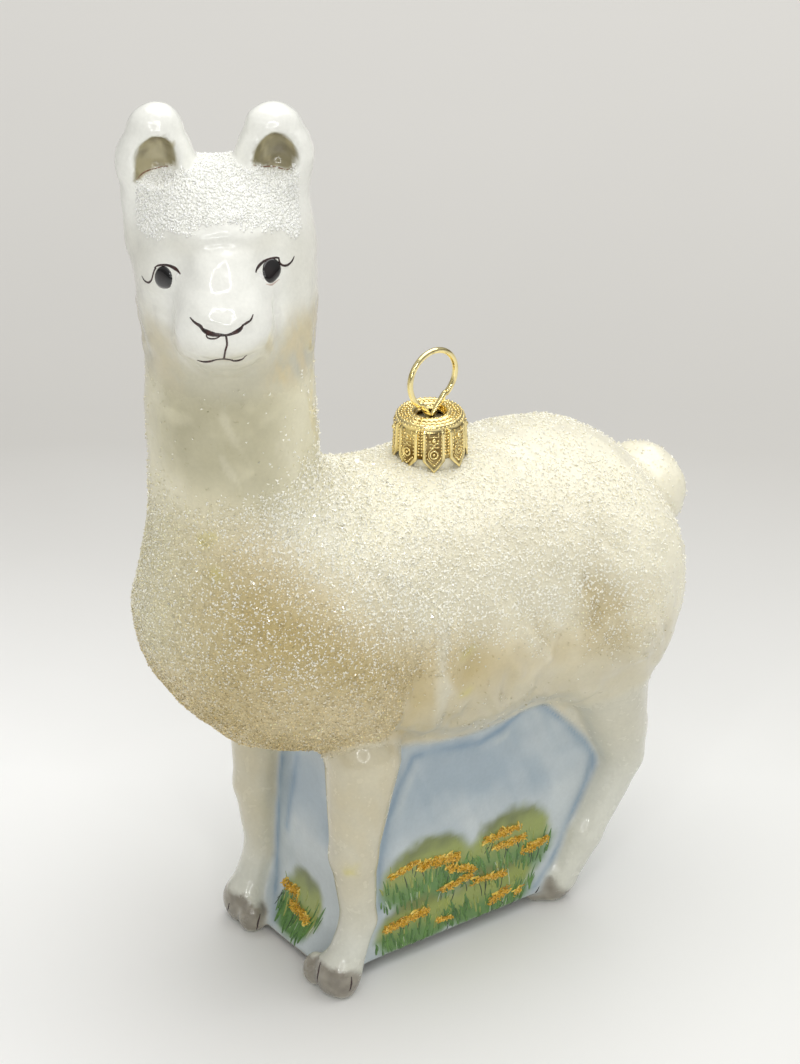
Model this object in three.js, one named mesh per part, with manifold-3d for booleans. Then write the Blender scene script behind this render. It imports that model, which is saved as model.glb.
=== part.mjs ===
/*
 * Hanging ornament: a standing llama blown in glass, lacquered and painted, with a web of glass
 * between its four legs, a crown cap over the open neck on its back and a wire hanger loop.
 *
 * Millimetres, +Z up. The llama faces -Y, its left side is +X and its soles rest on z = 0.
 * The figure is one smooth distance field of named ellipsoids and tapered limbs. It is meshed
 * piece by piece and parted by thin cuts, so that each part of the body is a solid of its own.
 */
import * as THREE from 'three';
import { mergeVertices } from 'three/addons/utils/BufferGeometryUtils.js';
import Module from 'manifold-3d';

const wasm = await Module();
wasm.setup();

// ---- Driving dimensions -----------------------------------------------------------------

const ACROSS = [1, 0, 0]; // direction from the right side to the left
const CUT = 0.3; // width of the thin cuts between neighbouring pieces

// Body masses: centre and radii.
const CHEST = { at: [0, -19.7, 52.4], radii: [18.1, 20.0, 17.9] };
const BRISKET = { at: [0, -19.8, 47.2], radii: [15.5, 14.4, 11.7] };
const BARREL = { at: [0, 1.3, 47.6], radii: [18.7, 31.4, 19.3] };
const RUMP = { at: [0, 21.2, 47.0], radii: [20.8, 15.0, 17.0] };
const THIGH = { at: [11.0, 20.0, 41.5], radii: [7.8, 9.1, 11.0] };
const TAIL = { at: [0, 35.9, 51.5], radii: [6.7, 5.55, 6.3] };

// Neck: a slightly tapered column from the withers to the back of the head.
const NECK_FOOT = { at: [0.4, -28.8, 57], radius: 10.5 };
const NECK_TOP = { at: [0, -29.0, 102], radius: 10.2 };

// The head has a frame of its own, turned to the llama's left: x across, y out of the face, z up.
const HEAD_AT = [-0.2, -30.15, 100];
const HEAD_TURN = THREE.MathUtils.degToRad(60);
const SKULL = { at: [0, 0, 4.1], radii: [9.9, 10.0, 10.3] };
const CHEEKS = { at: [1.0, -0.4, -1.9], radii: [10.1, 9.8, 11.0] };
const NOSE_BRIDGE = { at: [0, 6.6, 7], radius: 3.9 };
const NOSE_TIP = { at: [0, 9.0, -1.2], radius: 6.3 };
const JAW = { at: [0, 8.4, -3.9], radii: [5.4, 4.9, 3.9] };
const EAR_ROOT = { at: [6.9, -1.0, 5], radius: 4.0 };
const EAR_MIDDLE = { at: [7.0, -0.8, 14.8], radius: 4.6 };
const EAR_TIP = { at: [6.9, -0.8, 18.1], radius: 3.4 };
const EAR_FLATTEN = 0.85; // ear depth over ear width
const EAR_HOLLOW = { at: [7.0, 3.0, 15.5], radii: [2.7, 2.8, 3.1] };
const EYE = { across: 6.3, up: 4.0, radii: [1.3, 0.9, 1.65], sunk: 0.45 };

// Legs: stations of centre and radius from the elbow or stifle down to the fetlock.
const FRONT_LEG = [
  { at: [11, -17.5, 34], radius: 5.0 },
  { at: [11, -19.0, 20], radius: 3.1 },
  { at: [11, -18.3, 10], radius: 2.3 },
  { at: [11, -21.0, 3.2], radius: 2.6 },
];
const HIND_LEG = [
  { at: [11, 21.8, 32], radius: 5.9 },
  { at: [11, 25.0, 19.5], radius: 3.2 },
  { at: [11, 18.6, 9.5], radius: 2.6 },
  { at: [10.5, 15.4, 3.6], radius: 2.3 },
];

// Feet: a pad and the toes in front of it. The front feet are splayed and the hind feet narrow.
const FRONT_FOOT = [
  { at: [10.6, -21.6, 2.6], radii: [3.3, 2.8, 3.2] },
  { at: [7.5, -22.5, 2.0], radii: [1.9, 1.9, 2.4] },
  { at: [10.8, -21.9, 2.0], radii: [1.9, 1.9, 2.5] },
  { at: [12.3, -21.6, 2.0], radii: [1.6, 1.9, 2.4] },
];
const HIND_FOOT = [
  { at: [9.9, 15.0, 2.8], radii: [2.2, 2.8, 3.2] },
  { at: [9.0, 12.6, 2.0], radii: [1.6, 2.4, 2.2] },
  { at: [9.9, 14.2, 2.0], radii: [1.7, 2.4, 2.3] },
];

// Glass web that closes the space between the legs.
const WEB_HALF_WIDTH = 10.8;
const WEB_FRONT = -18.0;
const WEB_LIP = { y: -22.4, slope: 0.62 }; // the front face flares out again between the feet
const WEB_BACK = 22.8;
const WEB_BOTTOM = 0.6;
const WEB_TOP = 42;
const WEB_HEEL = { y: 14.8, z: 3.2, slope: 0.557 }; // the back face leans with the hind legs
const WEB_EDGE = 2.0;

// Radii of the fillets where the masses flow into each other.
const BLEND = {
  chest: 3,
  body: 6,
  thigh: 4,
  neck: 8,
  head: 3,
  tail: 1.5,
  legsToBody: 2,
  legJoint: 1,
  toe: 0.5,
  foot: 1.2,
  frontToHind: 0.5,
  webToLegs: 0.8,
  cheeks: 2,
  jaw: 1.5,
  muzzle: 2.2,
  earBend: 1,
  earRoot: 1.6,
  earHollow: 0.5,
};

// Levels where the pieces are parted.
const NECK_CUT = 71;
const HEAD_CUT = 91.2;
const FOOT_CUT = 5.6;
const LEG_TOP = 44;
const HEAD_TOP = 126;

// Nets that mesh the pieces: the box that each one fills and the size of its cells.
const NET = {
  trunk: { low: [-26, -46, 22], high: [26, 46, NECK_CUT + 3], cell: 4.8 },
  tail: { low: [-10, 26, 42], high: [10, 44, 60], cell: 2.6 },
  neck: { low: [-24, -48, NECK_CUT - 2], high: [24, -8, HEAD_CUT + 2], cell: 3.4 },
  head: { low: [-20, -50, HEAD_CUT - 2], high: [20, -10, HEAD_TOP], cell: 2.2 },
  web: { low: [-22, -32, -3], high: [22, 34, LEG_TOP + 2], cell: 4.3 },
  frontLeg: { low: [2, -32, -3], high: [20, -8, LEG_TOP], cell: 2.3 },
  hindLeg: { low: [2, 6, -3], high: [20, 40, LEG_TOP], cell: 2.9 },
};
const EAR_NET = { reach: 8, floor: 9, cell: 1.7 };
const PROBE = 0.02; // step that measures the field's slope
const SETTLE_PASSES = 4;
const CELL_RIM = 0.04; // share of a cell that a vertex keeps from its sides
const BLOCK = 60; // half side of the blocks that part the figure
const TRUNK_BOX_FLOOR = 36;
const TRUNK_MARGIN = 2.1; // how far the trunk piece reaches past its own ellipsoids
const TAIL_MARGIN = 0.9;
const EAR_ZONE = { at: [7.1, -0.8, 17], radii: [6.0, 5.5, 6.5] };
const LEG_INNER = 6.0; // inner side of the blocks that part the legs from the web

// Open glass neck on the back, the metal cap over it and the wire loop.
const CAP_Y = 1.0;
const STUB = { radius: 3.5, bore: 2.8, bottom: 60, floor: 64, top: 71.2 };
const CAP_TOP = 73.1;
const CAP_TURN = THREE.MathUtils.degToRad(15); // from a petal that faces forward
const CAP = { height: 6.5, hem: 4.5, shoulder: 4.25, wall: 0.4, hole: 1.7, point: 2.1 };
const CAP_RIM = { outer: 3.3, inner: 2.6, recess: 2.1, recessDepth: 0.5, thickness: 1.1, bevel: 0.8 };
const CAP_SEGMENTS = 16;
const CAP_SEAT_RADIUS = 5.5; // flat ground on the back round the open neck
const PETALS = 8;
const PETAL = { width: 2.8, proud: 0.3, top: 1.0, depth: 1.0 };
const WIRE = { radius: 0.38, loop: 3.8, centre: [1.4, 77.4], spread: 0.5, leg: 4.6, splay: 1.8 };
const WIRE_GAP = 0.5; // half of the opening at the foot of the loop, in radians
const LOOP_POINTS = 16;
const WIRE_STEPS = 34;
const WIRE_SIDES = 8;

// ---- Distance field ---------------------------------------------------------------------

const smoothUnion = (a, b, blend) => {
  const t = THREE.MathUtils.clamp(0.5 + (0.5 * (b - a)) / blend, 0, 1);
  return THREE.MathUtils.lerp(b, a, t) - blend * t * (1 - t);
};

const smoothCut = (a, b, blend) => -smoothUnion(-a, -b, blend);

const ellipsoid = ([x, y, z], { at, radii }) => {
  const p = [x - at[0], y - at[1], z - at[2]];
  const scaled = Math.hypot(p[0] / radii[0], p[1] / radii[1], p[2] / radii[2]);
  const slope = Math.hypot(p[0] / radii[0] ** 2, p[1] / radii[1] ** 2, p[2] / radii[2] ** 2);
  return (scaled * (scaled - 1)) / (slope + 1e-9);
};

const limb = (p, from, to, flatten = 1) => {
  const axis = from.at.map((v, i) => to.at[i] - v);
  const reach = from.at.map((v, i) => p[i] - v);
  const length2 = axis.reduce((sum, v) => sum + v * v, 0);
  const along = axis.reduce((sum, v, i) => sum + v * reach[i], 0) / length2;
  const t = THREE.MathUtils.clamp(along, 0, 1);
  const [dx, dy, dz] = reach.map((v, i) => v - t * axis[i]);
  return Math.hypot(dx, dy / flatten, dz) - THREE.MathUtils.lerp(from.radius, to.radius, t);
};

const toHeadFrame = ([x, y, z]) => {
  const dx = x - HEAD_AT[0];
  const dy = y - HEAD_AT[1];
  const cos = Math.cos(HEAD_TURN);
  const sin = Math.sin(HEAD_TURN);
  return [cos * dx + sin * dy, sin * dx - cos * dy, z - HEAD_AT[2]];
};

const fromHeadFrame = ([across, out, up]) => {
  const cos = Math.cos(HEAD_TURN);
  const sin = Math.sin(HEAD_TURN);
  const x = HEAD_AT[0] + cos * across + sin * out;
  const y = HEAD_AT[1] + sin * across - cos * out;
  return [x, y, HEAD_AT[2] + up];
};

function headField(p) {
  const h = toHeadFrame(p);
  const mirrored = [Math.abs(h[0]), h[1], h[2]];
  const skull = smoothUnion(ellipsoid(h, SKULL), ellipsoid(h, CHEEKS), BLEND.cheeks);
  const muzzle = smoothUnion(limb(h, NOSE_BRIDGE, NOSE_TIP), ellipsoid(h, JAW), BLEND.jaw);
  const lowerEar = limb(mirrored, EAR_ROOT, EAR_MIDDLE, EAR_FLATTEN);
  const upperEar = limb(mirrored, EAR_MIDDLE, EAR_TIP, EAR_FLATTEN);
  const face = smoothUnion(skull, muzzle, BLEND.muzzle);
  const ears = smoothUnion(lowerEar, upperEar, BLEND.earBend);
  const withEars = smoothUnion(face, ears, BLEND.earRoot);
  return smoothCut(withEars, -ellipsoid(mirrored, EAR_HOLLOW), BLEND.earHollow);
}

function legField(p, stations, footMasses) {
  let field = limb(p, stations[0], stations[1]);
  for (let i = 2; i < stations.length; i += 1) {
    field = smoothUnion(field, limb(p, stations[i - 1], stations[i]), BLEND.legJoint);
  }
  const masses = footMasses.map((mass) => ellipsoid(p, mass));
  const foot = masses.reduce((sum, mass) => smoothUnion(sum, mass, BLEND.toe));
  return smoothUnion(field, foot, BLEND.foot);
}

function webField([x, y, z]) {
  const heel = (y - WEB_HEEL.y - WEB_HEEL.slope * (z - WEB_HEEL.z)) / Math.hypot(1, WEB_HEEL.slope);
  const lip = (WEB_LIP.y + WEB_LIP.slope * (z - WEB_BOTTOM) - y) / Math.hypot(1, WEB_LIP.slope);
  const front = smoothUnion(WEB_FRONT - y, lip, WEB_EDGE);
  const sides = [Math.abs(x) - WEB_HALF_WIDTH, front, y - WEB_BACK, heel, WEB_BOTTOM - z];
  return Math.max(sides.reduce((sum, side) => smoothCut(sum, side, WEB_EDGE)), z - WEB_TOP);
}

function figure(p) {
  const mirrored = [Math.abs(p[0]), p[1], p[2]];
  let body = smoothUnion(ellipsoid(p, CHEST), ellipsoid(p, BRISKET), BLEND.chest);
  body = smoothUnion(body, ellipsoid(p, BARREL), BLEND.body);
  body = smoothUnion(body, ellipsoid(p, RUMP), BLEND.body);
  body = smoothUnion(body, ellipsoid(mirrored, THIGH), BLEND.thigh);
  body = smoothUnion(body, limb(p, NECK_FOOT, NECK_TOP), BLEND.neck);
  body = smoothUnion(body, headField(p), BLEND.head);
  body = smoothUnion(body, ellipsoid(p, TAIL), BLEND.tail);
  const front = legField(mirrored, FRONT_LEG, FRONT_FOOT);
  const hind = legField(mirrored, HIND_LEG, HIND_FOOT);
  const legs = smoothUnion(front, hind, BLEND.frontToHind);
  const lower = smoothUnion(legs, webField(p), BLEND.webToLegs);
  return smoothUnion(body, lower, BLEND.legsToBody);
}

// ---- Solids -----------------------------------------------------------------------------

function solidOf(geometry) {
  geometry.deleteAttribute('normal');
  geometry.deleteAttribute('uv');
  const merged = mergeVertices(geometry, 1e-4);
  const vertProperties = new Float32Array(merged.attributes.position.array);
  const triVerts = new Uint32Array(merged.index.array);
  return new wasm.Manifold(new wasm.Mesh({ numProp: 3, vertProperties, triVerts }));
}

function box(low, high) {
  const size = high.map((v, i) => v - low[i]);
  const geometry = new THREE.BoxGeometry(...size);
  return solidOf(geometry.translate(...low.map((v, i) => v + size[i] / 2)));
}

/** Block that spans the whole figure between two levels. */
const slab = (low, high) => box([-BLOCK, -BLOCK, low], [BLOCK, BLOCK, high]);

function ball({ at, radii }, grow = 0) {
  const geometry = new THREE.SphereGeometry(1, 14, 9);
  geometry.scale(...radii.map((radius) => radius + grow));
  return solidOf(geometry.translate(...at));
}

/** Places a solid drawn in the head's frame; the face looks along -Y before the head turns. */
function inHead(solid) {
  const facing = solid.mirror([0, 1, 0]).rotate([0, 0, THREE.MathUtils.radToDeg(HEAD_TURN)]);
  return facing.translate(HEAD_AT);
}

/** Net of the figure's surface inside a box, with one vertex in each cell that it crosses. */
function figureNet({ low, high, cell }) {
  const inside = (p) => Math.max(figure(p), ...p.map((v, i) => Math.max(low[i] - v, v - high[i])));
  const origin = low.map((v) => v - 1.5 * cell);
  const counts = high.map((v, i) => Math.ceil((v - origin[i]) / cell) + 2);
  const place = (i, j, k) => [origin[0] + i * cell, origin[1] + j * cell, origin[2] + k * cell];
  const index = (i, j, k) => (k * counts[1] + j) * counts[0] + i;
  const corner = new Float32Array(counts[0] * counts[1] * counts[2]);
  const eachCell = (limit, visit) => {
    for (let k = 0; k < counts[2] - limit; k += 1) {
      for (let j = 0; j < counts[1] - limit; j += 1) {
        for (let i = 0; i < counts[0] - limit; i += 1) visit(i, j, k);
      }
    }
  };
  eachCell(0, (i, j, k) => {
    corner[index(i, j, k)] = inside(place(i, j, k));
  });

  // Moves a vertex onto the surface without letting it leave its own cell.
  const settle = (start, cellLow) => {
    const rim = CELL_RIM * cell;
    let p = start;
    for (let pass = 0; pass < SETTLE_PASSES; pass += 1) {
      const value = inside(p);
      const slope = p.map((v, axis) => (inside(p.with(axis, v + PROBE)) - value) / PROBE);
      const length2 = slope.reduce((sum, v) => sum + v * v, 1e-6);
      p = p.map((v, axis) => {
        const moved = v - (value / length2) * slope[axis];
        return THREE.MathUtils.clamp(moved, cellLow[axis] + rim, cellLow[axis] + cell - rim);
      });
    }
    return p;
  };

  const vertices = [];
  const vertexOf = new Map();
  eachCell(1, (i, j, k) => {
    const crossings = [];
    for (let edge = 0; edge < 12; edge += 1) {
      const axis = edge % 3;
      const side = Math.floor(edge / 3);
      const a = [0, 0, 0];
      a[(axis + 1) % 3] = side & 1;
      a[(axis + 2) % 3] = side >> 1;
      const b = a.with(axis, 1);
      const va = corner[index(i + a[0], j + a[1], k + a[2])];
      const vb = corner[index(i + b[0], j + b[1], k + b[2])];
      if (va < 0 !== vb < 0) crossings.push(a.with(axis, va / (va - vb)));
    }
    if (crossings.length === 0) return;
    const total = (axis) => crossings.reduce((sum, c) => sum + c[axis], 0);
    const mean = [0, 1, 2].map((axis) => total(axis) / crossings.length);
    vertexOf.set(index(i, j, k), vertices.length);
    vertices.push(settle(place(i + mean[0], j + mean[1], k + mean[2]), place(i, j, k)));
  });

  const triangles = [];
  eachCell(1, (i, j, k) => {
    const here = [i, j, k];
    for (let axis = 0; axis < 3; axis += 1) {
      const va = corner[index(i, j, k)];
      const vb = corner[index(...here.with(axis, here[axis] + 1))];
      if (va < 0 === vb < 0) continue;
      const second = (axis + 1) % 3;
      const third = (axis + 2) % 3;
      const around = [[0, 0], [-1, 0], [-1, -1], [0, -1]].map(([s, t]) => {
        const cellAt = here.with(second, here[second] + s);
        return vertexOf.get(index(...cellAt.with(third, cellAt[third] + t)));
      });
      const [a, b, c, d] = va < 0 ? around : around.reverse();
      triangles.push(a, b, c, a, c, d);
    }
  });
  const vertProperties = new Float32Array(vertices.flat());
  const triVerts = new Uint32Array(triangles);
  return new wasm.Manifold(new wasm.Mesh({ numProp: 3, vertProperties, triVerts }));
}

/** Block that holds one left leg, drawn from the side. */
function legBlock(outline, clearance) {
  const shape = new THREE.Shape(outline(clearance).map(([y, z]) => new THREE.Vector2(y, z)));
  const depth = 20;
  const geometry = new THREE.ExtrudeGeometry(shape, { depth, bevelEnabled: false });
  const alongX = new THREE.Matrix4().makeBasis(
    new THREE.Vector3(0, 1, 0),
    new THREE.Vector3(0, 0, 1),
    new THREE.Vector3(1, 0, 0),
  );
  geometry.applyMatrix4(alongX);
  return solidOf(geometry.translate(LEG_INNER - clearance, 0, 0));
}

const frontLegOutline = (clearance) => [
  [-45, -1],
  [-15.2 + clearance, -1],
  [-15.2 + clearance, 20],
  [-11.8 + clearance, 40],
  [-45, 40],
];

const hindLegOutline = (clearance) => [
  [9.4 - clearance, -1],
  [45, -1],
  [45, 40],
  [14 - clearance, 40],
  [14.6 - clearance, 33],
  [21.2 - clearance, 19.5],
  [15.4 - clearance, 9.5],
  [9.4 - clearance, 4],
];

/** Everything that belongs to the trunk rather than to the legs and the web below it. */
function trunkZone(grow) {
  const mirroredThigh = { at: [-THIGH.at[0], THIGH.at[1], THIGH.at[2]], radii: THIGH.radii };
  const masses = [CHEST, BRISKET, BARREL, RUMP, THIGH, mirroredThigh];
  const upper = slab(TRUNK_BOX_FLOOR - grow, NECK_CUT);
  return masses.reduce((sum, mass) => sum.add(ball(mass, grow)), upper);
}

// ---- Pieces -----------------------------------------------------------------------------

function makeTrunk() {
  const net = figureNet(NET.trunk);
  const stub = solidOf(lathe([
    [0, STUB.bottom],
    [STUB.radius, STUB.bottom],
    [STUB.radius, STUB.top],
    [STUB.bore, STUB.top],
    [STUB.bore, STUB.floor],
    [0, STUB.floor],
  ], CAP_SEGMENTS));
  const bore = solidOf(lathe([
    [0, STUB.floor],
    [STUB.bore, STUB.floor],
    [STUB.bore, STUB.top + 1],
    [0, STUB.top + 1],
  ], CAP_SEGMENTS));
  const seatFloor = CAP_TOP - CAP.height - CUT;
  const seat = solidOf(lathe([
    [0, seatFloor],
    [CAP_SEAT_RADIUS, seatFloor],
    [CAP_SEAT_RADIUS, CAP_TOP],
    [0, CAP_TOP],
  ], CAP_SEGMENTS));
  const body = net.intersect(trunkZone(TRUNK_MARGIN)).intersect(slab(0, NECK_CUT - CUT / 2));
  return body.subtract(ball(TAIL, TAIL_MARGIN + CUT)).subtract(seat).add(stub).subtract(bore);
}

function makeTail() {
  return figureNet(NET.tail).intersect(ball(TAIL, TAIL_MARGIN));
}

function makeNeck() {
  return figureNet(NET.neck).intersect(slab(NECK_CUT + CUT / 2, HEAD_CUT - CUT / 2));
}

const earZone = (side) => ({
  at: [side * EAR_ZONE.at[0], EAR_ZONE.at[1], EAR_ZONE.at[2]],
  radii: EAR_ZONE.radii,
});

function eyeBall(side, grow) {
  let out = 0;
  while (figure(fromHeadFrame([side * EYE.across, out, EYE.up])) < 0) out += PROBE;
  const radii = EYE.radii.map((radius) => radius + grow);
  const turn = new THREE.Matrix4().makeRotationZ(-side * Math.asin(EYE.across / SKULL.radii[0]));
  const geometry = new THREE.SphereGeometry(1, 8, 6);
  geometry.scale(...radii).applyMatrix4(turn);
  return inHead(solidOf(geometry.translate(side * EYE.across, out - EYE.sunk, EYE.up)));
}

function makeHead() {
  const net = figureNet(NET.head).intersect(slab(HEAD_CUT + CUT / 2, HEAD_TOP));
  return [-1, 1].reduce((head, side) => {
    const noEar = head.subtract(inHead(ball(earZone(side), CUT)));
    return noEar.subtract(eyeBall(side, CUT / 2));
  }, net);
}

function makeEar(side) {
  const [x, y] = fromHeadFrame([side * EAR_ZONE.at[0], EAR_ZONE.at[1], 0]);
  const low = [x - EAR_NET.reach, y - EAR_NET.reach, HEAD_AT[2] + EAR_NET.floor];
  const high = [x + EAR_NET.reach, y + EAR_NET.reach, HEAD_TOP];
  const net = figureNet({ low, high, cell: EAR_NET.cell });
  return net.intersect(inHead(ball(earZone(side))));
}

function makeLeg(outline, net) {
  const shank = net.intersect(legBlock(outline, 0)).intersect(slab(FOOT_CUT + CUT / 2, LEG_TOP));
  return shank.subtract(trunkZone(TRUNK_MARGIN + CUT));
}

function makeFoot(outline, net) {
  return net.intersect(legBlock(outline, 0)).intersect(slab(0, FOOT_CUT - CUT / 2));
}

function makeWeb() {
  const side = WEB_HALF_WIDTH + 1;
  const space = box([-side, -BLOCK, 0], [side, BLOCK, LEG_TOP]);
  const blocks = legBlock(frontLegOutline, CUT).add(legBlock(hindLegOutline, CUT));
  const web = figureNet(NET.web).intersect(space);
  return web.subtract(blocks).subtract(blocks.mirror(ACROSS)).subtract(trunkZone(TRUNK_MARGIN + CUT));
}

function lathe(points, segments) {
  const closed = points[0][0] === 0 ? points : [...points, points[0]];
  const geometry = new THREE.LatheGeometry(closed.map(([r, z]) => new THREE.Vector2(r, z)), segments);
  return geometry.rotateX(Math.PI / 2).translate(0, CAP_Y, 0);
}

/** Crown cap: a thin shell with a hole in its top and a skirt of pointed petals. */
function makeCap() {
  const hem = CAP_TOP - CAP.height;
  let cap = solidOf(lathe([
    [CAP.hole, CAP_TOP - CAP_RIM.thickness],
    [CAP.shoulder - CAP.wall, CAP_TOP - CAP_RIM.thickness],
    [CAP.hem - CAP.wall, hem],
    [CAP.hem, hem],
    [CAP.shoulder, CAP_TOP - CAP_RIM.bevel],
    [CAP.shoulder - CAP.wall, CAP_TOP - CAP_RIM.bevel / 3],
    [CAP_RIM.outer, CAP_TOP - CAP_RIM.bevel / 8],
    [CAP_RIM.inner, CAP_TOP],
    [CAP_RIM.recess, CAP_TOP],
    [CAP.hole, CAP_TOP - CAP_RIM.recessDepth],
  ], CAP_SEGMENTS));
  for (let i = 0; i < PETALS; i += 1) cap = cap.add(petalPlate(i));
  for (let i = 0; i < PETALS; i += 1) cap = cap.subtract(hemNotch(i));
  return cap;
}

/** Places a piece drawn in the x-z plane, facing -Y, round the cap's axis. */
function roundCap(geometry, step, radius) {
  const turn = new THREE.Matrix4().makeRotationZ(CAP_TURN + (step * 2 * Math.PI) / PETALS);
  geometry.rotateX(Math.PI / 2).translate(0, -radius, 0).applyMatrix4(turn);
  return solidOf(geometry.translate(0, CAP_Y, 0));
}

function petalPlate(step) {
  const half = PETAL.width / 2;
  const low = CAP_TOP - CAP.height;
  const outline = [
    [0, low],
    [half, low + CAP.point],
    [half, CAP_TOP - PETAL.top],
    [-half, CAP_TOP - PETAL.top],
    [-half, low + CAP.point],
  ];
  const shape = new THREE.Shape(outline.map(([x, z]) => new THREE.Vector2(x, z)));
  const geometry = new THREE.ExtrudeGeometry(shape, { depth: PETAL.depth, bevelEnabled: false });
  return roundCap(geometry, step, CAP.hem + PETAL.proud - PETAL.depth);
}

function hemNotch(step) {
  const low = CAP_TOP - CAP.height;
  const half = CAP.hem * Math.tan(Math.PI / PETALS) + 0.05;
  const shape = new THREE.Shape([
    new THREE.Vector2(-half, low - 0.05),
    new THREE.Vector2(half, low - 0.05),
    new THREE.Vector2(0, low + CAP.point),
  ]);
  const depth = 3;
  const geometry = new THREE.ExtrudeGeometry(shape, { depth, bevelEnabled: false });
  return roundCap(geometry, step + 0.5, CAP.hem - 1.5);
}

/** Spring wire: up one side, round the loop, across itself and down into the glass neck. */
function makeHangerLoop() {
  const [centreY, centreZ] = WIRE.centre;
  const low = CAP_TOP - WIRE.leg;
  const points = [new THREE.Vector3(-WIRE.spread, CAP_Y - WIRE.splay, low)];
  for (let i = 0; i <= LOOP_POINTS; i += 1) {
    const t = i / LOOP_POINTS;
    const angle = -Math.PI / 2 + WIRE_GAP + t * (2 * Math.PI - 2 * WIRE_GAP);
    const x = WIRE.spread * (2 * THREE.MathUtils.smoothstep(t, 0, 1) - 1);
    const y = centreY + WIRE.loop * Math.cos(angle);
    const z = centreZ + WIRE.loop * Math.sin(angle);
    points.push(new THREE.Vector3(x, y, z));
  }
  points.push(new THREE.Vector3(WIRE.spread, CAP_Y + WIRE.splay, low));
  const section = new THREE.Shape();
  section.absarc(0, 0, WIRE.radius, 0, 2 * Math.PI);
  const extrudePath = new THREE.CatmullRomCurve3(points, false, 'centripetal');
  const settings = { steps: WIRE_STEPS, extrudePath, curveSegments: WIRE_SIDES / 2 };
  return solidOf(new THREE.ExtrudeGeometry(section, settings));
}

// ---- Scene graph ------------------------------------------------------------------------

function material(color, roughness, metalness = 0) {
  return new THREE.MeshStandardMaterial({ color, roughness, metalness });
}

const lacquer = () => material(0xeee8d6, 0.3);
const toeEnamel = () => material(0x8d877c, 0.4);

const ornament = new THREE.Group();

function addPiece(name, solid, finish) {
  const { numProp, vertProperties, triVerts } = solid.getMesh();
  const geometry = new THREE.BufferGeometry();
  const position = new THREE.BufferAttribute(new Float32Array(vertProperties), numProp);
  geometry.setAttribute('position', position);
  geometry.setIndex(new THREE.BufferAttribute(new Uint32Array(triVerts), 1));
  geometry.computeVertexNormals();
  const mesh = new THREE.Mesh(geometry, finish);
  mesh.name = name;
  ornament.add(mesh);
}

addPiece('trunk', makeTrunk(), lacquer());
addPiece('tail', makeTail(), lacquer());
addPiece('neck', makeNeck(), lacquer());
addPiece('head', makeHead(), material(0xf4f2ea, 0.2));
const frontNet = figureNet(NET.frontLeg);
const hindNet = figureNet(NET.hindLeg);
const limbs = [
  ['leg_front', makeLeg(frontLegOutline, frontNet), lacquer],
  ['leg_hind', makeLeg(hindLegOutline, hindNet), lacquer],
  ['foot_front', makeFoot(frontLegOutline, frontNet), toeEnamel],
  ['foot_hind', makeFoot(hindLegOutline, hindNet), toeEnamel],
];
for (const [sideName, side] of [['left', 1], ['right', -1]]) {
  addPiece(`ear_${sideName}`, makeEar(side), material(0xf4f2ea, 0.25));
  addPiece(`eye_${sideName}`, eyeBall(side, 0), material(0x14110f, 0.08));
  for (const [name, left, finish] of limbs) {
    addPiece(`${name}_${sideName}`, side > 0 ? left : left.mirror(ACROSS), finish());
  }
}
addPiece('meadow_web', makeWeb(), material(0xa9bccb, 0.2));
addPiece('cap', makeCap(), material(0xd8ab4f, 0.25, 1));
addPiece('hanger_loop', makeHangerLoop(), material(0xe0bf63, 0.15, 1));

export default ornament;
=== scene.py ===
"""Visual model of the blown-glass llama ornament: lacquer, glitter, painted details, cap and wire."""
import math

import bpy
import numpy as np
from mathutils import Matrix, Vector


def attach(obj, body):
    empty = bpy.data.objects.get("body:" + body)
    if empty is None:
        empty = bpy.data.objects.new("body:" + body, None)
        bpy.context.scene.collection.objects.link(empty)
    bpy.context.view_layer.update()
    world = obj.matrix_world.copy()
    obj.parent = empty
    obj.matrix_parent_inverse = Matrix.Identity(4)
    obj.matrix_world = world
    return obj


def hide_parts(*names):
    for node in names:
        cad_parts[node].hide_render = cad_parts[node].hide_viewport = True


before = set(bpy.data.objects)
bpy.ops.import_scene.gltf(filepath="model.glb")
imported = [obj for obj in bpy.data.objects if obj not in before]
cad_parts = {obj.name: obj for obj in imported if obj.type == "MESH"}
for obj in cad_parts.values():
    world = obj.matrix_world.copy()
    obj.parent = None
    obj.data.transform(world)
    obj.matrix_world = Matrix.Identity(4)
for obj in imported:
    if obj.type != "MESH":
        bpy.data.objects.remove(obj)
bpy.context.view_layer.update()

MM = 0.001

# ---- The figure as a distance field, in millimetres: the same masses as the solids ----

CHEST = ((0, -19.7, 52.4), (18.1, 20.0, 17.9))
BRISKET = ((0, -19.8, 47.2), (15.5, 14.4, 11.7))
BARREL = ((0, 1.3, 47.6), (18.7, 31.4, 19.3))
RUMP = ((0, 21.2, 47.0), (20.8, 15.0, 17.0))
THIGH = ((11.0, 20.0, 41.5), (7.8, 9.1, 11.0))
TAIL = ((0, 35.9, 51.5), (6.7, 5.55, 6.3))
NECK_FOOT = ((0.4, -28.8, 57), 10.5)
NECK_TOP = ((0, -29.0, 102), 10.2)
HEAD_AT = (-0.2, -30.15, 100)
HEAD_TURN = math.radians(60)
SKULL = ((0, 0, 4.1), (9.9, 10.0, 10.3))
CHEEKS = ((1.0, -0.4, -1.9), (10.1, 9.8, 11.0))
NOSE_BRIDGE = ((0, 6.6, 7), 3.9)
NOSE_TIP = ((0, 9.0, -1.2), 6.3)
JAW = ((0, 8.4, -3.9), (5.4, 4.9, 3.9))
EAR_ROOT = ((6.9, -1.0, 5), 4.0)
EAR_MIDDLE = ((7.0, -0.8, 14.8), 4.6)
EAR_TIP = ((6.9, -0.8, 18.1), 3.4)
EAR_FLATTEN = 0.85  # thickness of an ear by its width
EAR_HOLLOW = ((7.0, 3.0, 15.5), (2.7, 2.8, 3.1))
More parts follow.
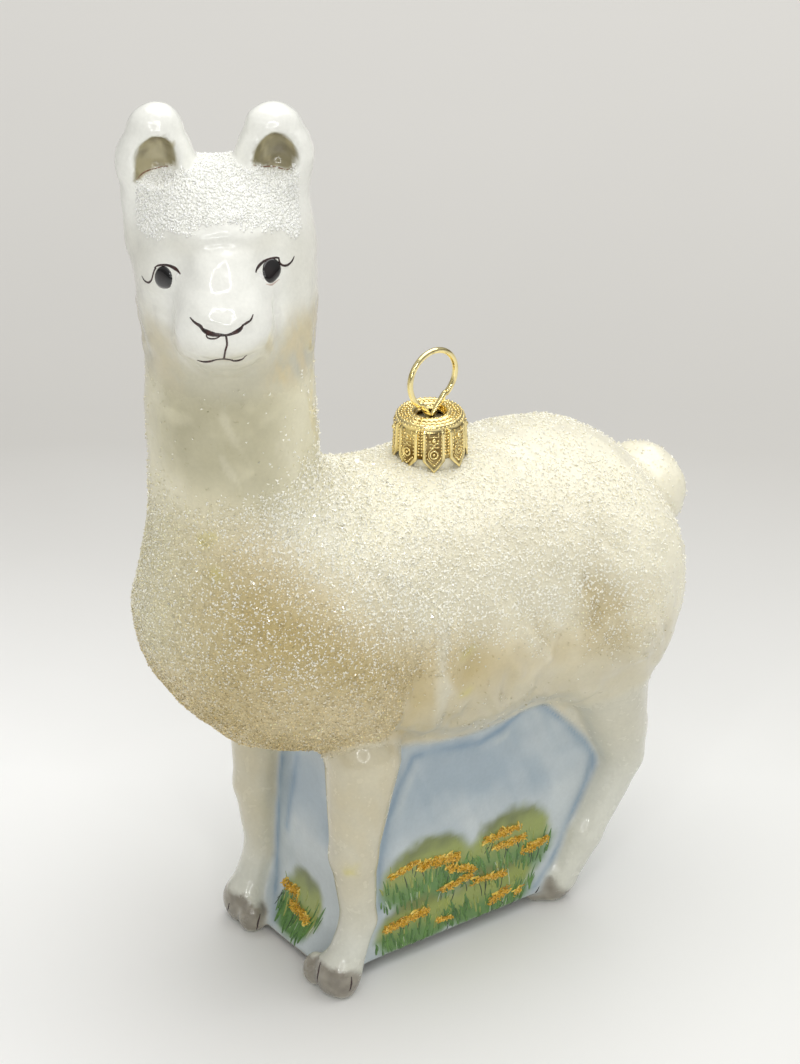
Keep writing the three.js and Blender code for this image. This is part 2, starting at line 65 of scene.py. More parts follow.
FRONT_LEG = (((11, -17.5, 34), 5.0), ((11, -19.0, 20), 3.1), ((11, -18.3, 10), 2.3), ((11, -21.0, 3.2), 2.6))
HIND_LEG = (((11, 21.8, 32), 5.9), ((11, 25.0, 19.5), 3.2), ((11, 18.6, 9.5), 2.6), ((10.5, 15.4, 3.6), 2.3))
FRONT_FOOT = (  # the pad and the toes in front of it
    ((10.6, -21.6, 2.6), (3.3, 2.8, 3.2)),
    ((7.5, -22.5, 2.0), (1.9, 1.9, 2.4)),
    ((10.8, -21.9, 2.0), (1.9, 1.9, 2.5)),
    ((12.3, -21.6, 2.0), (1.6, 1.9, 2.4)),
)
HIND_FOOT = (
    ((9.9, 15.0, 2.8), (2.2, 2.8, 3.2)),
    ((9.0, 12.6, 2.0), (1.6, 2.4, 2.2)),
    ((9.9, 14.2, 2.0), (1.7, 2.4, 2.3)),
)
WEB_HALF_WIDTH = 10.8
WEB_FRONT = -18.0
WEB_LIP = (-22.4, 0.62)  # the lowest point of the sloping front, and its slope
WEB_BACK = 22.8
WEB_BOTTOM = 0.6
WEB_TOP = 42
WEB_HEEL = (14.8, 3.2, 0.557)  # a point of the slanting back edge, along and up, and its slope
WEB_EDGE = 2.0  # how far its edges are rounded


def merge(a, b, blend):
    """Union of two distance fields, rounded where they meet."""
    t = np.clip(0.5 + 0.5 * (b - a) / blend, 0, 1)
    return b + (a - b) * t - blend * t * (1 - t)


def carve(a, b, blend):
    """What two fields share, with a rounded edge."""
    return -merge(-a, -b, blend)


def joined(field, *others):
    """Soft union of fields; each after the first comes with the width of its blend."""
    for other, blend in others:
        field = merge(field, other, blend)
    return field


def ellipsoid(x, y, z, shape):
    (cx, cy, cz), (rx, ry, rz) = shape
    dx, dy, dz = (x - cx) / rx, (y - cy) / ry, (z - cz) / rz
    scaled = np.sqrt(dx * dx + dy * dy + dz * dz)
    slope = np.sqrt((dx / rx) ** 2 + (dy / ry) ** 2 + (dz / rz) ** 2)
    return scaled * (scaled - 1) / (slope + 1e-6)


def limb(x, y, z, start, end, flatten=1.0):
    (ax, ay, az), ra = start
    (bx, by, bz), rb = end
    ux, uy, uz = bx - ax, by - ay, bz - az
    length2 = ux * ux + uy * uy + uz * uz
    t = np.clip(((x - ax) * ux + (y - ay) * uy + (z - az) * uz) / length2, 0, 1)
    dx, dy, dz = x - ax - t * ux, (y - ay - t * uy) / flatten, z - az - t * uz
    return np.sqrt(dx * dx + dy * dy + dz * dz) - (ra + (rb - ra) * t)


def to_head(x, y, z):
    """The head's own frame: across towards its left, out of its face, up."""
    c, s = math.cos(HEAD_TURN), math.sin(HEAD_TURN)
    dx, dy = x - HEAD_AT[0], y - HEAD_AT[1]
    return c * dx + s * dy, s * dx - c * dy, z - HEAD_AT[2]


def from_head(u, v, w):
    c, s = math.cos(HEAD_TURN), math.sin(HEAD_TURN)
    return HEAD_AT[0] + c * u + s * v, HEAD_AT[1] + s * u - c * v, HEAD_AT[2] + w


def ear_limbs(side, v, w):
    lower = limb(side, v, w, EAR_ROOT, EAR_MIDDLE, EAR_FLATTEN)
    return lower, limb(side, v, w, EAR_MIDDLE, EAR_TIP, EAR_FLATTEN)


def head_field(x, y, z):
    u, v, w = to_head(x, y, z)
    side = np.abs(u)
    muzzle = merge(limb(u, v, w, NOSE_BRIDGE, NOSE_TIP), ellipsoid(u, v, w, JAW), 1.5)
    ear = merge(*ear_limbs(side, v, w), 1)
    face = joined(ellipsoid(u, v, w, SKULL), (ellipsoid(u, v, w, CHEEKS), 2), (muzzle, 2.2), (ear, 1.6))
    return carve(face, -ellipsoid(side, v, w, EAR_HOLLOW), 0.5)


def foot_field(x, y, z, masses):
    pad, *toes = (ellipsoid(x, y, z, mass) for mass in masses)
    return joined(pad, *((toe, 0.5) for toe in toes))


def leg_field(x, y, z, stations, foot_masses):
    upper, *lower = (limb(x, y, z, start, end) for start, end in zip(stations, stations[1:]))
    return joined(upper, *((part, 1) for part in lower), (foot_field(x, y, z, foot_masses), 1.2))


def web_field(x, y, z):
    heel = (y - WEB_HEEL[0] - WEB_HEEL[2] * (z - WEB_HEEL[1])) / math.hypot(1, WEB_HEEL[2])
    lip = (WEB_LIP[0] + WEB_LIP[1] * (z - WEB_BOTTOM) - y) / math.hypot(1, WEB_LIP[1])
    front = merge(WEB_FRONT - y, lip, WEB_EDGE)
    field = carve(np.abs(x) - WEB_HALF_WIDTH, front, WEB_EDGE)
    for side in (y - WEB_BACK, heel, WEB_BOTTOM - z):
        field = carve(field, side, WEB_EDGE)
    return np.maximum(field, z - WEB_TOP)


def legs_field(x, y, z):
    side = np.abs(x)
    return merge(
        leg_field(side, y, z, FRONT_LEG, FRONT_FOOT), leg_field(side, y, z, HIND_LEG, HIND_FOOT), 0.5)


def body_field(x, y, z):
    return joined(
        ellipsoid(x, y, z, CHEST),
        (ellipsoid(x, y, z, BRISKET), 3),
        (ellipsoid(x, y, z, BARREL), 6),
        (ellipsoid(x, y, z, RUMP), 6),
        (ellipsoid(np.abs(x), y, z, THIGH), 4),
        (limb(x, y, z, NECK_FOOT, NECK_TOP), 8),
        (head_field(x, y, z), 3),
        (ellipsoid(x, y, z, TAIL), 1.5))


def figure(x, y, z):
    lower = merge(legs_field(x, y, z), web_field(x, y, z), 0.8)
    return np.maximum(merge(body_field(x, y, z), lower, 2), -z)


# ---- Noise and fine relief ---------------------------------------------------------------

LATTICE = np.random.default_rng(3).random((32, 32, 32)).astype(np.float32) * 2 - 1


def noise(p, size):
    """Smooth noise from -1 to 1; size is the length of a feature, or one length for each axis."""
    q = p / np.asarray(size) + 50
    cell = np.floor(q).astype(int)
    t = q - cell
    t = t * t * (3 - 2 * t)
    total = 0
    for corner in range(8):
        step = np.array([corner & 1, corner >> 1 & 1, corner >> 2])
        i = (cell + step) & 31
        weight = np.prod(np.where(step, t, 1 - t), axis=1)
        total = total + LATTICE[i[:, 0], i[:, 1], i[:, 2]] * weight
    return total


def fractal(p, size):
    """Noise of three sizes, each half as long and half as strong as the one before."""
    size = np.asarray(size, float)
    return sum(noise(p + 17.3 * k, size / 2**k) / 2**k for k in range(3)) / 1.75


def fade(low, high, value):
    """0 up to low, 1 from high on, and smooth between; low may be the larger one."""
    t = np.clip((value - low) / (high - low), 0, 1)
    return t * t * (3 - 2 * t)


def near(p, at, radii):
    """1 at a point, and below 0.1 beyond the radii."""
    d = (p - np.asarray(at)) / np.asarray(radii)
    return np.exp(-2.5 * (d * d).sum(1))


def soft_line(distance, half_width):
    """1 on a line, fading to 0 on both sides of it."""
    return np.exp(-((distance / half_width) ** 2))


def columns(*parts):
    return np.column_stack(parts)


def unit(vectors):
    return vectors / (np.linalg.norm(vectors, axis=1, keepdims=True) + 1e-9)


def spots(p, *forms):
    """Sum of soft round spots, each with its middle, radii and strength."""
    return sum(strength * near(p, at, radii) for at, radii, strength in forms)


# Directions of the wool: along it, across it and out of it.
LOCK_FLOW = np.array([[0.0, 0.45, -0.89], [0.0, 0.89, 0.45], [1.0, 0.0, 0.0]])
NECK_FLOW = np.array([[0.25, 0.35, -0.9], [0.0, 0.93, 0.36], [1.0, 0.0, 0.0]])
DENTS = (  # soft hollows in the flank and behind the shoulder: middle, radii, height
    ((19.3, 12.6, 52.4), (6, 1.5, 2.6), -0.85),
    ((19.6, 14.0, 48.4), (6, 1.5, 4.4), -0.75),
    ((19.5, 17.0, 45.0), (6, 3.0, 5.0), -0.5),
    ((19.0, 9.0, 45.0), (6, 1.6, 5.0), -0.35),
    ((18.6, -13.5, 46.0), (6, 2.0, 9.0), -0.8),
    ((18.6, -5.5, 46.5), (6, 3.6, 4.6), -0.75),
    ((17.8, 0.8, 42.0), (6, 1.2, 5.0), -0.6),
    ((18.0, -5.0, 38.0), (6, 2.6, 3.0), -0.6),
    ((17.0, 6.0, 38.0), (6, 1.4, 4.0), -0.35),
    ((19.0, 18.5, 36.5), (7, 4.5, 2.6), -0.5),
)
RIDGES = (  # rolls of wool: from, to, half width, height
    ((17.6, -9.9, 56.0), (18.1, -11.2, 47.2), 0.9, 0.6),
    ((18.1, -11.2, 47.2), (14.0, -8.6, 34.0), 1.1, 0.75),
    ((18.5, 1.0, 50.3), (17.9, 7.8, 42.3), 0.9, 0.7),
    ((18.4, -0.6, 47.7), (17.9, 3.0, 41.5), 0.8, 0.7),
    ((17.9, 3.0, 41.5), (13.8, 9.8, 34.7), 0.9, 0.6),
    ((18.1, -3.7, 43.9), (14.8, 1.5, 35.7), 0.8, 0.6),
    ((18.4, -7.0, 41.5), (14.8, -4.0, 34.0), 0.8, 0.5),
    ((18.6, 13.8, 51.8), (18.9, 14.7, 48.0), 0.4, 0.6),
    ((18.9, 18.4, 50.0), (19.6, 21.0, 39.0), 2.0, 0.6),
    ((17.0, -17.2, 44.0), (14.0, -17.6, 33.0), 1.2, 0.6),
)
FACE_FORMS = (  # swellings and dents of the face, alike on both halves: middle, radii, height
    ((5.4, 9.4, 5.4), (2.6, 3.0, 2.4), -0.65),
    ((6.3, 8.6, -0.8), (1.9, 3.4, 4.4), -0.85),
    ((5.0, 9.5, 8.8), (4.5, 4, 1.6), 0.45),
    ((0, 9.8, 7.9), (4.5, 3, 1.7), -0.45),
    ((2.2, 10.5, 4.6), (2.4, 4, 3.4), 0.3),
    ((2.6, 13.6, 1.4), (2.6, 3, 2.4), 0.25),
    ((2.4, 14.7, -0.3), (1.6, 2, 0.9), -0.4),
    ((2.2, 14.6, -3.0), (2.4, 2.5, 1.8), 0.25),
)
EAR_TIPS = (((-7.0, -0.8, 21.5), (4, 5, 3), 0.3), ((7.0, -0.8, 21.5), (4, 5, 3), -0.4))
COLLAR = ((0, 1.0, 66.9), (8.5, 8.5, 5), 0.5)
HOCK = (((11, 28.2, 17.5), (6, 4, 4.5), -0.9), ((11, 28.5, 24.5), (6, 4, 3.5), 0.5))
THIGH_LINE = ((9.3, 33.8), (18.9, 23.1))  # where the paint of the thigh meets the sky, along and up
HOLLOWS = (  # painted insides of the ears: outlines across and up the head, clockwise
    ((-9.6, 13.2), (-9.3, 15.5), (-8.6, 17.2), (-7.4, 18.3), (-6.0, 18.3), (-5.0, 17.5), (-4.5, 14.8),
     (-5.7, 14.2)),
    ((4.1, 15.0), (4.6, 16.4), (5.6, 17.5), (6.8, 18.3), (7.9, 17.8), (9.0, 16.6), (9.5, 15.3), (8.6, 13.4),
     (5.5, 13.8)),
)


def hollow_distance(u, v, w):
    """Distance from the outlines of the painted hollows of the ears, negative inside them."""
    nearest = np.full(np.shape(u), 99.0)
    for outline in HOLLOWS:
        depth = np.full(np.shape(u), -99.0)
        for a, b in zip(outline, (*outline[1:], outline[0])):
            across, up = b[0] - a[0], b[1] - a[1]
            depth = np.maximum(depth, (across * (w - a[1]) - up * (u - a[0])) / math.hypot(across, up))
        nearest = np.minimum(nearest, depth)
    return nearest + 9 * fade(-1.0, -2.5, v)


def regions(p):
    """How much each point belongs to the head, the web and the lower legs."""
    x, y, z = p.T
    u, v, w = to_head(x, y, z)
    head = fade(-13, -7, w + 0.35 * v) * fade(86, 90, z)
    legs = legs_field(x, y, z)
    body = body_field(x, y, z)
    web = web_field(x, y, z)
    below = fade(-0.8, 0.8, np.minimum(legs, body) - web)
    (y0, z0), (y1, z1) = THIGH_LINE
    thigh_line = ((y - y0) * (z0 - z1) + (z - z0) * (y1 - y0)) / math.hypot(y1 - y0, z1 - z0)
    between_legs = fade(9.4, 8.4, np.abs(x))
    below = below * np.maximum(fade(1.3, 0.1, thigh_line), between_legs)
    lower_leg = fade(-0.6, 1.4, np.minimum(body, web + 2) - legs)
    return head, below, lower_leg


def tuft_mask(p):
    """The pad of glass granules across the forehead and over the crown."""
    u, v, w = to_head(*p.T)
    side = np.abs(u)
    edge = np.interp(side, (0, 2.4, 4.5, 6.0, 7.2, 8.4, 9.4), (10.6, 10.0, 9.2, 8.6, 7.9, 7.2, 7.0))
    edge = edge + 3.2 * fade(3.6, -0.4, v) + 0.65 * noise(p, 1.7) + 0.35 * noise(p, 0.8)
    back = fade(-6.5, -4.5, v + 0.6 * noise(p + 9, 2.0))
    level = 14.0 + 0.25 * np.cos(5 * u)
    off_ear = np.maximum(fade(level + 0.5, level, w), fade(0.3, 0.9, np.minimum(*ear_limbs(side, v, w))))
    off_ear = off_ear * fade(0.0, 0.25, hollow_distance(u, v, w))
    outer = fade(9.8, 8.9, side) * fade(-1.5, 0.5, v + 3 * fade(8, 6, side))
    return fade(-0.55, 0.3, w - edge) * back * off_ear * outer * fade(100, 103, p[:, 2])


def along_path(p, start, end):
    """Distance from a straight path, counted less across the figure, and the share of the way along it."""
    start, end = np.asarray(start), np.asarray(end)
    t = np.clip((p - start) @ (end - start) / ((end - start) @ (end - start)), 0, 1)
    return np.linalg.norm((p - start - t[:, None] * (end - start)) * (0.35, 1, 1), axis=1), t


def relief(p):
    """Height of the fine forms over the smooth figure."""
    x, y, z = p.T
    head, web, leg = regions(p)
    u, v, w = to_head(x, y, z)
    side = np.abs(u)
    mirrored = columns(np.abs(x), y, z)
    bent = p + 1.6 * columns(*(noise(p + shift, 8.0) for shift in (0, 30, 60)))
    neck = fade(70, 76, z) * (1 - head)
    top = fade(56, 64, z) * (1 - neck)
    body_locks = fractal(bent @ LOCK_FLOW.T, (9.0, 3.0, 9.0)) * (1 - neck) * (1 - 0.55 * top)
    locks = body_locks + 0.55 * neck * fractal(bent @ NECK_FLOW.T, (7.0, 2.6, 5.0))
    wool = 0.7 * locks + 0.3 * noise(p, 9.0) * (1 - 0.5 * neck) + spots(mirrored, *DENTS)
    for start, end, half, rise in RIDGES:
        distance, t = along_path(mirrored, start, end)
        wool = wool + rise * soft_line(distance, half) * np.sqrt(np.clip(4 * t * (1 - t), 0, 1))
    wool = wool * (1 - head) * (1 - web) * (1 - leg) * fade(27, 34, z)
    cheek_wool = fade(1, -3, w) * fade(12, 7, v) * fade(2.5, 6.5, side)
    cheek_wool = cheek_wool * fractal(p @ NECK_FLOW.T, (3.6, 1.5, 3.0))
    lip_line = soft_line(w + 4.9 - 0.12 * side, 0.45) * fade(12.0, 13.5, v)
    face = 0.42 * cheek_wool + 0.1 * noise(p, 2.6) + 0.1 * noise(p + 7, 1.5) - 0.2 * lip_line
    face = head * (face + spots(columns(side, v, w), *FACE_FORMS))
    ears_and_tuft = 0.12 * tuft_mask(p) + spots(columns(u, v, w), *EAR_TIPS)
    joints = spots(p, COLLAR) + spots(mirrored, *HOCK)
    streaks = 0.1 * neck * fractal(bent @ NECK_FLOW.T, (3.0, 0.9, 2.4))
    ripples = 0.1 * leg * fractal(p, (3.0, 3.0, 7.0)) * (1 - web)
    lower_edge = fade(2.6, 1.2, z) * fade(-19, -16, y)
    hollow_side = near(columns(y, z), (2, 20), (15, 11))
    meadow = web * (0.12 * fractal(p, 8.0) - 0.35 * hollow_side - 0.65 * lower_edge)
    return wool + face + ears_and_tuft + joints + streaks + ripples + meadow


COAT_DEPTH = 0.08


def surface(p):
    """The finished skin: zero on it, negative inside."""
    return np.maximum(figure(*p.T) + COAT_DEPTH - relief(p), -p[:, 2])


def slope(p, step=0.05):
    base = surface(p)
    return base, np.column_stack([(surface(p + step * axis) - base) / step for axis in np.eye(3)])


def settle(p, passes=3, reach=0.6):
    """Moves points onto the skin, and returns them with the outward normals there."""
    for _ in range(passes):
        value, grad = slope(p)
        move = value / np.maximum((grad * grad).sum(1), 0.05)
        p = p - np.clip(move, -reach, reach)[:, None] * grad
    return p, unit(slope(p)[1])


def drop_on_face(u, w, start=17.0):
    """Points of the face seen straight from the front, by their place across and up."""
    u, w = np.asarray(u, float), np.asarray(w, float)
    v = np.full(u.shape, start)
    for _ in range(60):
        v = v - 0.8 * figure(*from_head(u, v, w))
    return np.column_stack(from_head(u, v, w))


# ---- Skin mesh ---------------------------------------------------------------------------

def surface_net(cell, low, high):
    """One vertex in each grid cell that the figure's surface crosses, joined in quads."""
    counts = np.ceil((np.array(high) - low) / cell).astype(int) + 1
    axes = [low[i] + cell * np.arange(counts[i], dtype=np.float32) for i in range(3)]
    value = np.empty(counts, np.float32)
    for start in range(0, counts[0], 8):
        block = np.meshgrid(axes[0][start:start + 8], axes[1], axes[2], indexing="ij")
        value[start:start + 8] = figure(*block) + COAT_DEPTH
    inside = value < 0
    corners = [(i, j, k) for i in (0, 1) for j in (0, 1) for k in (0, 1)]
    shift = lambda a, c: a[tuple(slice(c[i], counts[i] - 1 + c[i]) for i in range(3))]
    total = sum(shift(inside, c).astype(np.int8) for c in corners)
    cells = np.argwhere((total > 0) & (total < 8))
    number = np.full(counts, -1)
    number[tuple(cells.T)] = np.arange(len(cells))
    place = np.zeros((len(cells), 3))
    weight = np.zeros(len(cells))
    for axis in range(3):
        for c in (c for c in corners if c[axis] == 0):
            a, b = np.array(c), np.array(c)
            b[axis] = 1
            va, vb = (value[tuple((cells + e).T)] for e in (a, b))
            crossed = (va < 0) != (vb < 0)
            t = np.where(crossed, va / np.where(crossed, va - vb, 1), 0)
            place += np.where(crossed[:, None], a + t[:, None] * (b - a), 0)
            weight += crossed
    points = np.array(low) + cell * (cells + place / weight[:, None])
    quads = []
    for axis in range(3):
        one, two = np.eye(3, dtype=int)[(axis + 1) % 3], np.eye(3, dtype=int)[(axis + 2) % 3]
        step = np.eye(3, dtype=int)[axis]
        here = np.argwhere(np.diff(inside.astype(np.int8), axis=axis) != 0)
        ring = [here, here - one, here - one - two, here - two]
        quad = np.stack([number[tuple(r.T)] for r in ring], axis=1)
        outward = inside[tuple(here.T)] & ~inside[tuple((here + step).T)]
        quads.append(np.where(outward[:, None], quad, quad[:, ::-1]))
    return points, np.concatenate(quads)


# ---- Colours -----------------------------------------------------------------------------

def srgb(r, g, b):
    c = np.array([r, g, b]) / 255
    return np.where(c <= 0.04045, c / 12.92, ((c + 0.055) / 1.055) ** 2.4)


CREAM = srgb(248, 243, 220)
NECK_CREAM = srgb(234, 228, 197)
# Painted shade for the front of the neck and under the chin.
NECK_SHADE = srgb(186, 180, 148)
WARM_BEIGE = srgb(218, 203, 162)
SAND = srgb(192, 172, 112)
FLANK_TONE = srgb(204, 196, 168)
# Painted shade for the face: under the jaw, on the temples and in the eye sockets.
FACE_SHADE = srgb(204, 200, 178)
BELLY_GREY = srgb(226, 221, 200)
ENAMEL_WHITE = srgb(248, 248, 240)
LEG_WHITE = srgb(219, 219, 206)
SKY = srgb(163, 179, 190)
SKY_PALE = srgb(200, 209, 211)
SKY_DEEP = srgb(112, 142, 168)
RIM_PALE = srgb(196, 206, 206)
OLIVE_DARK = srgb(108, 118, 54)
OLIVE = srgb(148, 160, 72)
GRASS = srgb(88, 132, 54)
TOE_GREY = srgb(168, 162, 147)
TOE_DARK = srgb(124, 117, 105)
HOLLOW_GREY = srgb(152, 144, 112)
HOLLOW_BEIGE = srgb(206, 196, 158)
# Dark smudges in the ear hollows, and painted shadow along their tops.
HOLLOW_DARK = srgb(92, 82, 62)
STAIN = srgb(214, 204, 110)
# Painted shade for the underside of the web.
UNDERSIDE_SHADE = srgb(132, 124, 108)
GLITTER_WHITE = srgb(255, 253, 241)
GRANULE_WHITE = srgb(255, 255, 249)

SIDE_TUFTS = (  # grass clumps on the sides of the web: middle along and up, half length, half height
    (-7.0, 12.4, 8.2, 5.6),
    (6.6, 11.4, 7.2, 6.2),
    (-9.2, 5.2, 6.6, 4.4),
    (3.0, 5.4, 7.8, 4.6),
)
FRONT_TUFT = (-0.9, 6.0, 4.6, 4.8)
SIDE_LINES = (  # blue brush lines on the sides of the web: along and up
    ((-14.8, 10), (-14.6, 17), (-13.4, 23), (-11.5, 27.6), (-9.3, 31), (-4.3, 30.4), (1.4, 29.3), (4.6, 30.1),
     (9.4, 33)),
    ((9.3, 33.8), (14.5, 28.5), (18.9, 23.1), (19.9, 21.1), (19.3, 17.1), (17.4, 13.4), (15.3, 9.2),
     (13.3, 5.9), (11, 3.4)),
    ((20.2, 21.1), (20.5, 18), (18.4, 14.4)),
)
FRONT_LINES = (
    ((-6.6, 25.6), (-7.4, 20.6), (-7.7, 15.3), (-8.2, 9.9), (-6.8, 5.7), (-4.2, 2.6)),
    ((-3.1, 27.3), (-3.6, 24.5), (-4.8, 19.8), (-5.7, 15.2)),
)
SAND_LEVEL = ((-40, -34, -29, -24, -18, -10, -4), (74, 71, 66.5, 61.5, 57.5, 51, 46))  # along, up
KHAKI = (((18, -6.0, 46.5), (9, 6.5, 8), 1), ((19, 13.5, 50), (8, 4, 6), 1), ((19, 16.0, 43), (8, 5, 5), 0.7))
GLITTER_LEVEL = ((-40, -26, -20, -16.5, -15, 8, 14, 20, 26), (34, 33, 33, 36, 46, 46, 42, 40, 44))
STAINS = ((6.6, -37.3, 69.4), (7.8, -37.2, 65.1), (18.3, -6.4, 48.5), (17.4, -6.5, 42.4), (13.5, -20.9, 19.6))


def mix(a, b, t):
    t = np.clip(t, 0, 1)[:, None]
    return a * (1 - t) + b * t


def plain(tone, p):
    return np.tile(tone, (len(p), 1))


def layered(colour, *layers):
    """The colour under layers of paint, each with its tone and its cover from 0 to 1."""
    for tone, cover in layers:
        colour = mix(colour, tone, cover)
    return colour


def clump_mask(along, up, clump, ragged):
    """Airbrushed patch of one clump, and how low in it each point is."""
    middle, level, half_length, half_height = clump
    reach = ((along - middle) / half_length) ** 2 + ((up - level) / half_height) ** 2 + ragged
    return fade(1.2, 0.6, reach), (up - level) / half_height + 0.7 * ragged


def line_distance(along, up, lines):
    """Distance from the nearest of several brush lines."""
    q = columns(along, up)
    nearest = np.full(len(q), 99.0)
    for line in lines:
        for a, b in zip(np.array(line), np.array(line[1:])):
            t = np.clip((q - a) @ (b - a) / ((b - a) @ (b - a)), 0, 1)[:, None]
            nearest = np.minimum(nearest, np.linalg.norm(q - a - t * (b - a), axis=1))
    return nearest


def paint_meadow(p):
    """Sky, grass patches, pale rim and painted shade on the underside of the web between the legs."""
    x, y, z = p.T
    on_front = fade(-16.2, -17.2, y)
    cloud = fractal(p + 5, (9.0, 8.0, 6.0))
    wisp = fractal(p @ NECK_FLOW.T + 8, (12.0, 2.0, 4.0))
    pale = 0.15 + 0.75 * fade(24, 12, z) + 0.35 * fade(4, 12, y)
    pale = pale + 0.3 * on_front * fade(20, 12, z) + 0.7 * cloud + 0.5 * wisp
    legs = np.minimum(legs_field(x, y, z), body_field(x, y, z))
    side_line = line_distance(y + 0.25 * noise(p, 3.0), z, SIDE_LINES)
    line = np.where(on_front > 0.5, line_distance(x, z, FRONT_LINES), side_line)
    thin = soft_line(line, 0.5) * (0.7 + 0.6 * noise(p, (1.4, 1.4, 5.0)))
    glow = 0.8 * soft_line(line, 1.1) + 0.35 * soft_line(legs, 1.6)
    beside = soft_line(line - 1.5, 0.5) * fade(0.0, 0.45, noise(p + 4, (2.0, 3.0, 6.0)))
    sky = layered(
        plain(SKY, p), (SKY_PALE, pale),
        (SKY_DEEP, np.clip(0.6 * thin + 0.3 * glow * (0.8 + 0.6 * cloud), 0, 0.85)),
        (RIM_PALE, 0.6 * beside))
    ragged = 0.16 * noise(p, 1.7) + 0.1 * noise(p, 0.8)
    blotches = fractal(p + 40, 1.8)
    for clump in (*SIDE_TUFTS, FRONT_TUFT):
        front = clump is FRONT_TUFT
        patch, height = clump_mask(x if front else y, z, clump, ragged)
        slant = (x + 1) / 8 if front else 0
        green = layered(
            plain(OLIVE, p), (OLIVE_DARK, fade(0.3, 0.8, height) * (0.9 + 0.5 * blotches)),
            (GRASS, fade(0.25, -0.35, height + slant)))
        sky = mix(sky, green, patch * (on_front if front else 1 - on_front) * 0.96)
    rim = fade(2.6, 1.6, z + 0.3 * noise(p, 2.0))
    # Painted shade on the web's underside, low by the floor.
    return layered(sky, (RIM_PALE, 0.6 * rim), (UNDERSIDE_SHADE, fade(1.55, 1.2, z)))


def toe_mask(p):
    """Painted toes: the front and the sides of each foot up to a ragged line."""
    x, y, z = np.abs(p[:, 0]), p[:, 1], p[:, 2]
    ragged = 0.5 * noise(p, 1.1) + 0.25 * noise(p, 0.5)
    mask = 0
    for masses, level, behind in ((FRONT_FOOT, 4.5, -18.6), (HIND_FOOT, 3.8, 17.4)):
        toe_x, toe_y, _ = masses[2][0]
        edge = level + 0.12 * (x - toe_x) - 0.2 * (y - toe_y) + ragged
        on_foot = fade(0.55, 0.1, foot_field(x, y, z, masses)) * fade(behind + 1, behind - 1, y)
        mask = np.maximum(mask, fade(0.4, -0.3, z - edge) * on_foot * (np.abs(y - toe_y) < 8))
    return mask


def hollow_mask(p):
    return fade(0.2, -0.2, hollow_distance(*to_head(*p.T)) + 0.12 * noise(p, 1.0))


def shoulder_share(p):
    """The thickly sprinkled white band over the shoulders and along the upper flanks."""
    level = np.interp(p[:, 1], (-36, -28, -22, -14, -4, 6, 16, 24), (71, 66, 61, 56, 51, 50, 51, 54))
    return fade(-5, 3, p[:, 2] - level + 2.5 * noise(p, 5.0)) * fade(-38, -30, p[:, 1])


def paint_fleece(p):
    """Cream wool, sandier on the chest and in patches low on the flanks, with painted shade in the hollows of
    the relief, on the front of the neck and under the chin.
    """
    x, y, z = p.T
    u, v, w = to_head(x, y, z)
    height = relief(p)
    mottled = fractal(p, 7.0)
    neck = fade(68, 78, z)
    blotches = fade(0.1, 0.5, fractal(p + 13, (5.0, 5.0, 3.5)))
    # Painted shade on the front and left of the neck, the side away from the light.
    neck_front_shade = neck * fade(3.5, 10, v - 0.3 * u)
    above_sand = z - np.interp(y, *SAND_LEVEL) + 2.5 * mottled
    front = fade(2, -8, y + 3 * mottled)
    pale_breast = fade(40, 58, z) * fade(81, 74, z) * fade(-30, -36, y)
    pale_breast = pale_breast * fade(14, 0, x + 2 * mottled)
    brushed = fade(0.1, 0.45, fractal(p @ NECK_FLOW.T + 3, (6.0, 1.1, 3.0)))
    flank = fade(57, 43, z + 7 * mottled) * fade(34, 14, y)
    patches = fade(-0.35, 0.4, fractal(p + 21, 6.5))
    sprinkled = shoulder_share(p) * fade(66, 60, z) * fade(24, 14, y)
    khaki = spots(columns(np.abs(x), y, z), *KHAKI)
    # Painted shade: sand colour in the low places of the wool relief.
    hollow = fade(0.0, -0.6, height) * (1 - neck) * fade(60, 54, z)
    rolls = fade(0.25, 0.7, height) * (1 - neck) * fade(58, 50, z) * fade(-14, -10, y)
    low = fade(47, 38, z + 3 * mottled) * fade(-15, -9, y) * fade(34, 24, y)
    # Painted shade under the chin.
    throat_shade = fade(88, 92, z) * fade(-4.5, -7.5, w) * fade(15.5, 12, v)
    throat_shade = throat_shade * fade(-5, 0, v)
    return layered(
        plain(CREAM, p),
        (NECK_CREAM, neck),
        (NECK_SHADE, neck_front_shade * (1.0 + 0.4 * mottled - 0.4 * blotches)),
        (WARM_BEIGE, 0.85 * fade(6, -4, above_sand) * front),
        (SAND, 0.85 * fade(0, -10, above_sand) * front),
        (NECK_CREAM, 0.9 * pale_breast),
        (CREAM, 0.2 * neck * brushed),
        (WARM_BEIGE, flank * (0.45 + 0.55 * patches)),
        (FLANK_TONE, 0.32 * sprinkled),
        (SAND, khaki * (0.62 + 0.4 * mottled)),
        (SAND, 0.28 * hollow),
        (BELLY_GREY, 0.75 * rolls),
        (FLANK_TONE, 0.75 * low),
        (BELLY_GREY, 0.45 * fade(37, 32, z) * fade(-12, -4, y)),
        (NECK_SHADE, 0.8 * throat_shade))


